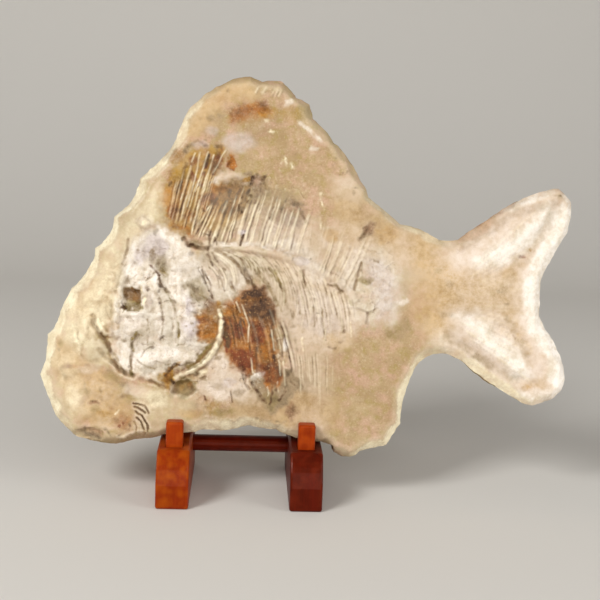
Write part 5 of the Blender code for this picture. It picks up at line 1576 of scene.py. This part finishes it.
    def fill(self, ring: Array, free: Array) -> tuple[Array, list[tuple[int, ...]]]:
        """Triangles that fill the outline.

        Args:
            ring: the outline, clockwise.
            free: points inside it.

        Returns:
            The points, the ring's first, and the triangles, anticlockwise.
        """
        points = [Vector(point) for point in np.concatenate((ring, free))]
        outline = list(range(len(ring)))[::-1]
        found, _, faces, origins, _, _ = delaunay_2d_cdt(points, [], [outline], 1, 0.02)
        place = {source: index for index, sources in enumerate(origins) for source in sources}
        order = [place[index] for index in range(len(ring))]
        order += sorted(set(range(len(found))) - set(order))
        rank = {old: new for new, old in enumerate(order)}
        coordinates = np.array([found[old] for old in order])
        return coordinates, [tuple(rank[corner] for corner in face) for face in faces]

    def free_points(self, ring: Array) -> Array:
        """Points of the front, closest together over the fossil.

        Args:
            ring: the outline.

        Returns:
            The points, clear of the outline.
        """
        fossil = np.array(self.fossil_area, float)
        fine = self.grid(self.fine_cell)
        fine = fine[inside_ring(fine, fossil)]
        plain = self.grid(self.plain_cell)
        plain = plain[~inside_ring(plain, fossil)]
        free = np.concatenate((fine, plain))
        free = free[inside_ring(free, ring)]
        gap, _ = segment_distance(free, ring[::2], np.roll(ring[::2], -1, axis=0))
        return free[gap > 0.6 * self.ring_step]

    def wall_ring(self, ring: Array, front_w: Array, share: float) -> tuple[Array, Array]:
        """One ring of the chipped side wall.

        Args:
            ring: the outline.
            front_w: height of the bevel's lower edge at each of its points.
            share: how far back it lies, 0 to 1.

        Returns:
            Its places and heights.
        """
        inset = self.wall_inset * min(1.0, share / 0.6)
        inset += (self.back_inset - self.wall_inset) * max(0.0, (share - 0.6) / 0.4) ** 1.5
        swerve = np.column_stack((ring[:, 0] + ring[:, 1] * 0.4, ring[:, 1] * 0.8
                                  + share * self.thickness * 1.1))
        fade = min(1.0, 4.0 * share)
        chips = rough_surface(swerve, self.chip_noise)
        points = ring - self.normals(ring, 8) * (inset + fade * chips)[:, None]
        shift = 0.8 * lattice_noise(ring, 13.0, 8) * fade
        return points, front_w * (1.0 - share) - self.depth(ring) * share - shift

    def matrix(self) -> Matrix:
        """Where the slab stands in the stand's own frame, in millimetres."""
        front_y = EaselStand.peg_front_y + EaselStand.peg_depth + self.rest_gap + self.bottom_back
        return (Matrix.Translation((self.mid_x, front_y, EaselStand.ledge_z + self.bottom_rise))
                @ Matrix.Rotation(-math.radians(self.lean), 4, "X")
                @ Matrix.Rotation(-math.radians(self.turn), 4, "Y"))

    def seated(self, places: Array) -> Array:
        """Flatten the slab where it touches the ledges, the pegs and the uprights.

        Args:
            places: slab coordinates (u, -w, v), one row each.

        Returns:
            Places in the stand's own frame.
        """
        matrix = np.array(self.matrix())
        world = places @ matrix[:3, :3].T + matrix[:3, 3]
        slope = math.tan(math.radians(self.lean))
        ledge = EaselStand.ledge_z
        peg_back = EaselStand.peg_front_y + EaselStand.peg_depth + self.rest_gap
        for side in (-1, 1):
            middle = side * EaselStand.board_spacing / 2
            reach = np.abs(world[:, 0] - middle) - EaselStand.board_width / 2
            near = reach < self.seat_margin
            low = near & (world[:, 2] < ledge + self.rest_gap)
            world[low, 2] = ledge + self.rest_gap
            ahead = near & (world[:, 2] < EaselStand.peg_top_z + 2.0) & (world[:, 1] < peg_back)
            world[ahead, 1] = peg_back
            face = EaselStand.ledge_back_y - self.rest_gap + (world[:, 2] - ledge) * slope
            face -= np.clip(EaselStand.edge_round + self.rest_gap - (world[:, 2] - ledge), 0, None)
            behind = (reach < self.back_margin) & (world[:, 1] > face)
            world[behind, 1] = face[behind]
        return world

    def hollows(self, height: Array, faces: list[tuple[int, ...]], rounds: int) -> Array:
        """How far each point lies under its surroundings.

        Args:
            height: of each point.
            faces: the front's triangles.
            rounds: how often the surroundings are averaged.

        Returns:
            The depths, in millimetres; negative on a crest.
        """
        corners = np.array(faces)
        starts = corners.ravel()
        ends = np.roll(corners, -1, axis=1).ravel()
        count = np.bincount(np.concatenate((starts, ends)), minlength=len(height))
        smooth = height
        for _ in range(rounds):
            total = np.bincount(starts, smooth[ends], len(height))
            total += np.bincount(ends, smooth[starts], len(height))
            smooth = total / count
        return smooth - height

    def build(self) -> bpy.types.Object:
        """Build the stone, with its masks and its material.

        Returns:
            The object.
        """
        ring, bites = self.ring(self.ring_step)
        ring = ring + self.normals(ring, 3) * rough_surface(ring, self.edge_noise)[:, None]
        coarse, coarse_bites = self.ring(2 * self.ring_step)
        front, front_faces = self.fill(ring, self.free_points(ring))
        front_w, fall, layers = self.relief(front, coarse, coarse_bites)
        wear_and_shade = self.hollows(front_w, front_faces, self.hollow_rounds)
        calm = 1.0 - smooth_step(1.6 * fall)
        calm *= np.where(inside_ring(front, np.array(self.fossil_area)), 1.0, 0.4)
        # hollows of the relief: dust and painted shade; crests: paler wear
        layers["hollow"] = calm * np.clip((wear_and_shade - 0.02) / 0.9, 0.0, 0.5)
        layers["crest"] = calm * np.clip((-wear_and_shade - 0.02) / 0.7, 0.0, 0.4)

        sheets = [np.column_stack((front[:, 0], -front_w, front[:, 1]))]
        faces = [front_faces]
        total = len(front)
        rows = [np.arange(len(ring))]
        for step in range(1, self.wall_rings):
            around, around_w = self.wall_ring(ring, front_w[:len(ring)], step / self.wall_rings)
            sheets.append(np.column_stack((around[:, 0], -around_w, around[:, 1])))
            rows.append(total + np.arange(len(ring)))
            total += len(ring)
        back_ring, back_w = self.wall_ring(ring, front_w[:len(ring)], 1.0)
        free = self.grid(self.back_cell)
        free = free[inside_ring(free, back_ring)]
        gap, _ = segment_distance(free, back_ring[::2], np.roll(back_ring[::2], -1, axis=0))
        back, back_faces = self.fill(back_ring, free[gap > 0.5 * self.back_cell])
        inner = back[len(ring):]
        dents = 0.5 * self.back_noise[0][0] + 0.5 * rough_surface(inner, self.back_noise)
        back_w = np.concatenate((back_w, dents - self.depth(inner)))
        sheets.append(np.column_stack((back[:, 0], -back_w, back[:, 1])))
        rows.append(total + np.arange(len(ring)))
        faces.append([tuple(total + corner for corner in reversed(face)) for face in back_faces])
        for upper, lower in zip(rows, rows[1:]):
            after, below = np.roll(upper, -1), np.roll(lower, -1)
            faces.append([tuple(int(corner) for corner in face)
                          for face in zip(upper, after, below, lower)])

        places = self.seated(np.concatenate(sheets)) + EaselStand.place()
        mesh = bpy.data.meshes.new("fossil_slab_stone")
        mesh.from_pydata((places * MM).tolist(), [], [face for group in faces for face in group])
        mesh.update()
        for name, layer in layers.items():
            values = np.zeros(len(places))
            values[:len(layer)] = layer
            mesh.attributes.new(name, "FLOAT", "POINT").data.foreach_set("value", values)
        mesh.shade_smooth()
        mesh.set_sharp_from_angle(angle=math.radians(self.sharp_angle))
        mesh.materials.append(Limestone().build())
        stone = bpy.data.objects.new("fossil_slab_stone", mesh)
        bpy.context.scene.collection.objects.link(stone)
        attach(stone, ROOT_BODY)
        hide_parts("fossil_slab")
        mesh.calc_loop_triangles()
        log.info("%s: %d triangles, %d stains", stone.name, len(mesh.loop_triangles),
                 len(STAINS))
        return stone


# ================================================================ the stand
@dataclass(frozen=True)
class VarnishedWood:
    """Reddish hardwood under glossy varnish: fine grain below, a clear coat above.

    Attributes:
        name: the material's name.
        light: colour between the grain's lines.
        dark: colour of the grain's lines.
        glow: colour of the figure that shimmers through the varnish.
        along: direction of the grain, an axis 0 to 2.
    """
    name: str
    light: str
    dark: str
    glow: str
    along: int
    grain_range: Place = (0.36, 0.72)
    figure_size: float = 5.5
    figure_range: Place = (0.4, 0.75)
    figure_cover: float = 0.55
    sheen: str = "#D8703A"
    line_size: float = 1.3
    stretch: float = 14.0
    roughness: float = 0.5
    coat: float = 0.08
    coat_roughness: float = 0.15
    refraction: float = 1.52

    def build(self) -> Material:
        """Build the material.

        Returns:
            The material.
        """
        material, tree, shader = new_material(self.name)
        coords = add_node(tree, "TexCoord").outputs["Object"]
        scale = [1.0, 1.0, 1.0]
        scale[self.along] = 1.0 / self.stretch
        laid = add_node(tree, "Mapping", {"Vector": coords, "Scale": tuple(scale)}).outputs[0]
        lines = add_node(tree, "TexNoise", {"Vector": laid, "Scale": 1 / (self.line_size * MM),
                                            "Detail": 4.0, "Roughness": 0.6})
        broad = add_node(tree, "TexNoise", {"Vector": laid, "Scale": 1 / (7 * self.line_size * MM),
                                            "Detail": 2.0})
        streaks = add_node(tree, "Mix", {"Factor": 0.55, "A": lines.outputs["Fac"],
                                         "B": broad.outputs["Fac"]})
        share = spread(tree, streaks.outputs[0], self.grain_range, 0.0, 1.0)
        colour = blend(tree, share, linear(self.light), linear(self.dark))
        figure = add_node(tree, "TexNoise", {"Vector": coords, "Detail": 1.5, "Roughness": 0.5,
                                             "Scale": 1 / (self.figure_size * MM)})
        shimmer = spread(tree, figure.outputs["Fac"], self.figure_range, 0.0, self.figure_cover)
        tree.links.new(blend(tree, shimmer, colour, linear(self.glow)),
                       shader.inputs["Base Color"])
        bump = add_node(tree, "Bump", {"Height": lines.outputs["Fac"], "Strength": 0.12,
                                       "Distance": 0.15 * MM})
        tree.links.new(bump.outputs[0], shader.inputs["Normal"])
        shader.inputs["Roughness"].default_value = self.roughness
        shader.inputs["IOR"].default_value = self.refraction
        shader.inputs["Specular Tint"].default_value = linear(self.sheen)
        shader.inputs["Coat Weight"].default_value = self.coat
        shader.inputs["Coat Roughness"].default_value = self.coat_roughness
        shader.inputs["Coat IOR"].default_value = self.refraction
        return material


@dataclass(frozen=True)
class EaselStand:
    """The stand: two boards with a peg each, and the crossbar. It keeps its CAD shapes."""
    board_width: float = 19.0
    board_spacing: float = 77.0
    ledge_z: float = 32.5
    ledge_back_y: float = 47.0
    edge_round: float = 1.3
    peg_depth: float = 8.0
    peg_front_y: float = 15.5
    peg_top_z: float = 47.2

    @staticmethod
    def place() -> Array:
        """Where the stand's own frame lies, in millimetres."""
        left_low, left_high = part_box("stand_left_side")
        right_low, right_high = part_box("stand_right_side")
        middle = (left_low.x + left_high.x + right_low.x + right_high.x) / 4
        return np.array((middle, min(left_low.y, right_low.y), 0.0)) / MM

    def finishes(self) -> dict[str, VarnishedWood]:
        """Which finish each piece of the stand has.

        Returns:
            The finishes, by CAD node.
        """
        return {
            "stand_left_side": VarnishedWood("left_board_varnished_wood", "#8E2E06", "#701C02",
                                            "#B4580A", 2),
            # the right board: the left board's wood painted darker, as painted shade
            "stand_right_side": VarnishedWood("right_board_varnished_wood_with_painted_shade", "#540C04", "#2C0301",
                                              "#681E0C", 2),
            "stand_left_lip": VarnishedWood("left_peg_varnished_wood", "#A03A0C", "#842604",
                                           "#B85414", 2),
            "stand_right_lip": VarnishedWood("right_peg_varnished_wood", "#A0360A", "#7E2404",
                                            "#B44A10", 2),
            "stand_crossbar": VarnishedWood("crossbar_varnished_wood", "#5C0C02", "#360401",
                                           "#701602", 0),
        }

    def dress(self) -> None:
        """Give each piece of the stand its varnished wood."""
        for name, finish in self.finishes().items():
            material = finish.build()
            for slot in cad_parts[name].material_slots:
                slot.material = material
            log.info("%s: %s", name, material.name)


# ================================================================ the studio
@dataclass(frozen=True)
class Studio:
    """Pale floor, soft lamps and the camera.

    Attributes (the sizes are millimetres, the angles degrees):
        paper: colour of the floor.
        half_width: of the floor.
        front_edge: of the floor.
        bend_start: where it begins to curve up.
        bend_radius: of that curve.
        top: of the backdrop.
        lamps: name, place and size in metres, and watts.
        room: colour of the room's own light, and its strength.
        target: slab coordinates of the point that the camera looks at.
        distance: from the camera to that point.
        azimuth: of the camera, right of the front.
        elevation: of the camera.
        roll: of the camera about its own line of sight.
        lens: focal length.
    """
    paper: str = "#DAD6CF"
    half_width: float = 1500.0
    front_edge: float = -1400.0
    bend_start: float = 750.0
    bend_radius: float = 500.0
    top: float = 1900.0
    lamps: tuple = (("key", (-1.05, -1.0, 1.2), 0.6, 20.5),
                    ("front", (0.15, -1.7, 0.55), 1.2, 10.5),
                    ("right", (1.25, -0.75, 0.6), 0.8, 7.5))
    room: tuple = ("#EDEBE8", 0.24)
    target: Place = (0.0, 84.0)
    distance: float = 664.0
    azimuth: float = -3.0
    elevation: float = 10.0
    roll: float = 2.2
    lens: float = 67.2

    def build_floor(self) -> None:
        """Build the pale floor, which curves up into a backdrop."""
        half, back, radius = self.half_width, self.bend_start, self.bend_radius
        profile = [(self.front_edge, 0.0), (back, 0.0)]
        profile += [(back + radius * math.sin(turn), radius * (1.0 - math.cos(turn)))
                    for turn in np.linspace(0.1, math.pi / 2, 12)]
        profile.append((back + radius, self.top))
        verts = [(side * half * MM, y * MM, z * MM) for y, z in profile for side in (-1, 1)]
        faces = [(2 * row, 2 * row + 1, 2 * row + 3, 2 * row + 2)
                 for row in range(len(profile) - 1)]
        mesh = bpy.data.meshes.new("studio_floor")
        mesh.from_pydata(verts, [], faces)
        mesh.shade_smooth()
        material, _, shader = new_material("pale_paper")
        shader.inputs["Base Color"].default_value = linear(self.paper)
        shader.inputs["Roughness"].default_value = 0.9
        mesh.materials.append(material)
        floor = bpy.data.objects.new("studio_floor", mesh)
        bpy.context.scene.collection.objects.link(floor)
        log.info("studio_floor: %d faces", len(faces))

    def add_lamp(self, name: str, place: tuple, size: float, watts: float, aim: Vector) -> None:
        """Add a soft square lamp.

        Args:
            name: its name.
            place: where it hangs, in metres.
            size: of its side, in metres.
            watts: its power.
            aim: the point it faces.
        """
        lamp = bpy.data.lights.new(name, "AREA")
        lamp.size = size
        lamp.energy = watts
        obj = bpy.data.objects.new(name, lamp)
        obj.location = place
        obj.rotation_euler = (aim - obj.location).to_track_quat("-Z", "Y").to_euler()
        bpy.context.scene.collection.objects.link(obj)

    def build(self, slab: FossilSlab) -> None:
        """Build the floor, the lamps and the camera.

        Args:
            slab: what the camera looks at.
        """
        self.build_floor()
        place = slab.matrix() @ Vector((self.target[0], 0.0, self.target[1]))
        aim = (place + Vector(EaselStand.place())) * MM
        for lamp in self.lamps:
            self.add_lamp(*lamp, aim)
        world = bpy.data.worlds.new("pale_room")
        world.use_nodes = True
        room = world.node_tree.nodes["Background"]
        room.inputs["Color"].default_value = linear(self.room[0])
        room.inputs["Strength"].default_value = self.room[1]
        bpy.context.scene.world = world

        azimuth = math.radians(self.azimuth)
        elevation = math.radians(self.elevation)
        away = Vector((math.sin(azimuth) * math.cos(elevation),
                       -math.cos(azimuth) * math.cos(elevation), math.sin(elevation)))
        camera = bpy.data.cameras.new("camera")
        camera.lens = self.lens
        camera.sensor_width = 36.0
        obj = bpy.data.objects.new("camera", camera)
        facing = (-away).to_track_quat("-Z", "Y").to_matrix().to_4x4()
        obj.matrix_world = (Matrix.Translation(aim + away * self.distance * MM) @ facing
                            @ Matrix.Rotation(math.radians(self.roll), 4, "Z"))
        bpy.context.scene.collection.objects.link(obj)
        bpy.context.scene.camera = obj
        bpy.context.scene.view_settings.view_transform = "Standard"


def main() -> None:
    """Build the stone, the stand's finishes and the studio."""
    logging.basicConfig(level=logging.INFO, format="%(name)s: %(message)s")
    slab = FossilSlab()
    slab.build()
    EaselStand().dress()
    Studio().build(slab)
    bpy.context.view_layer.update()


if __name__ == "__main__":
    main()
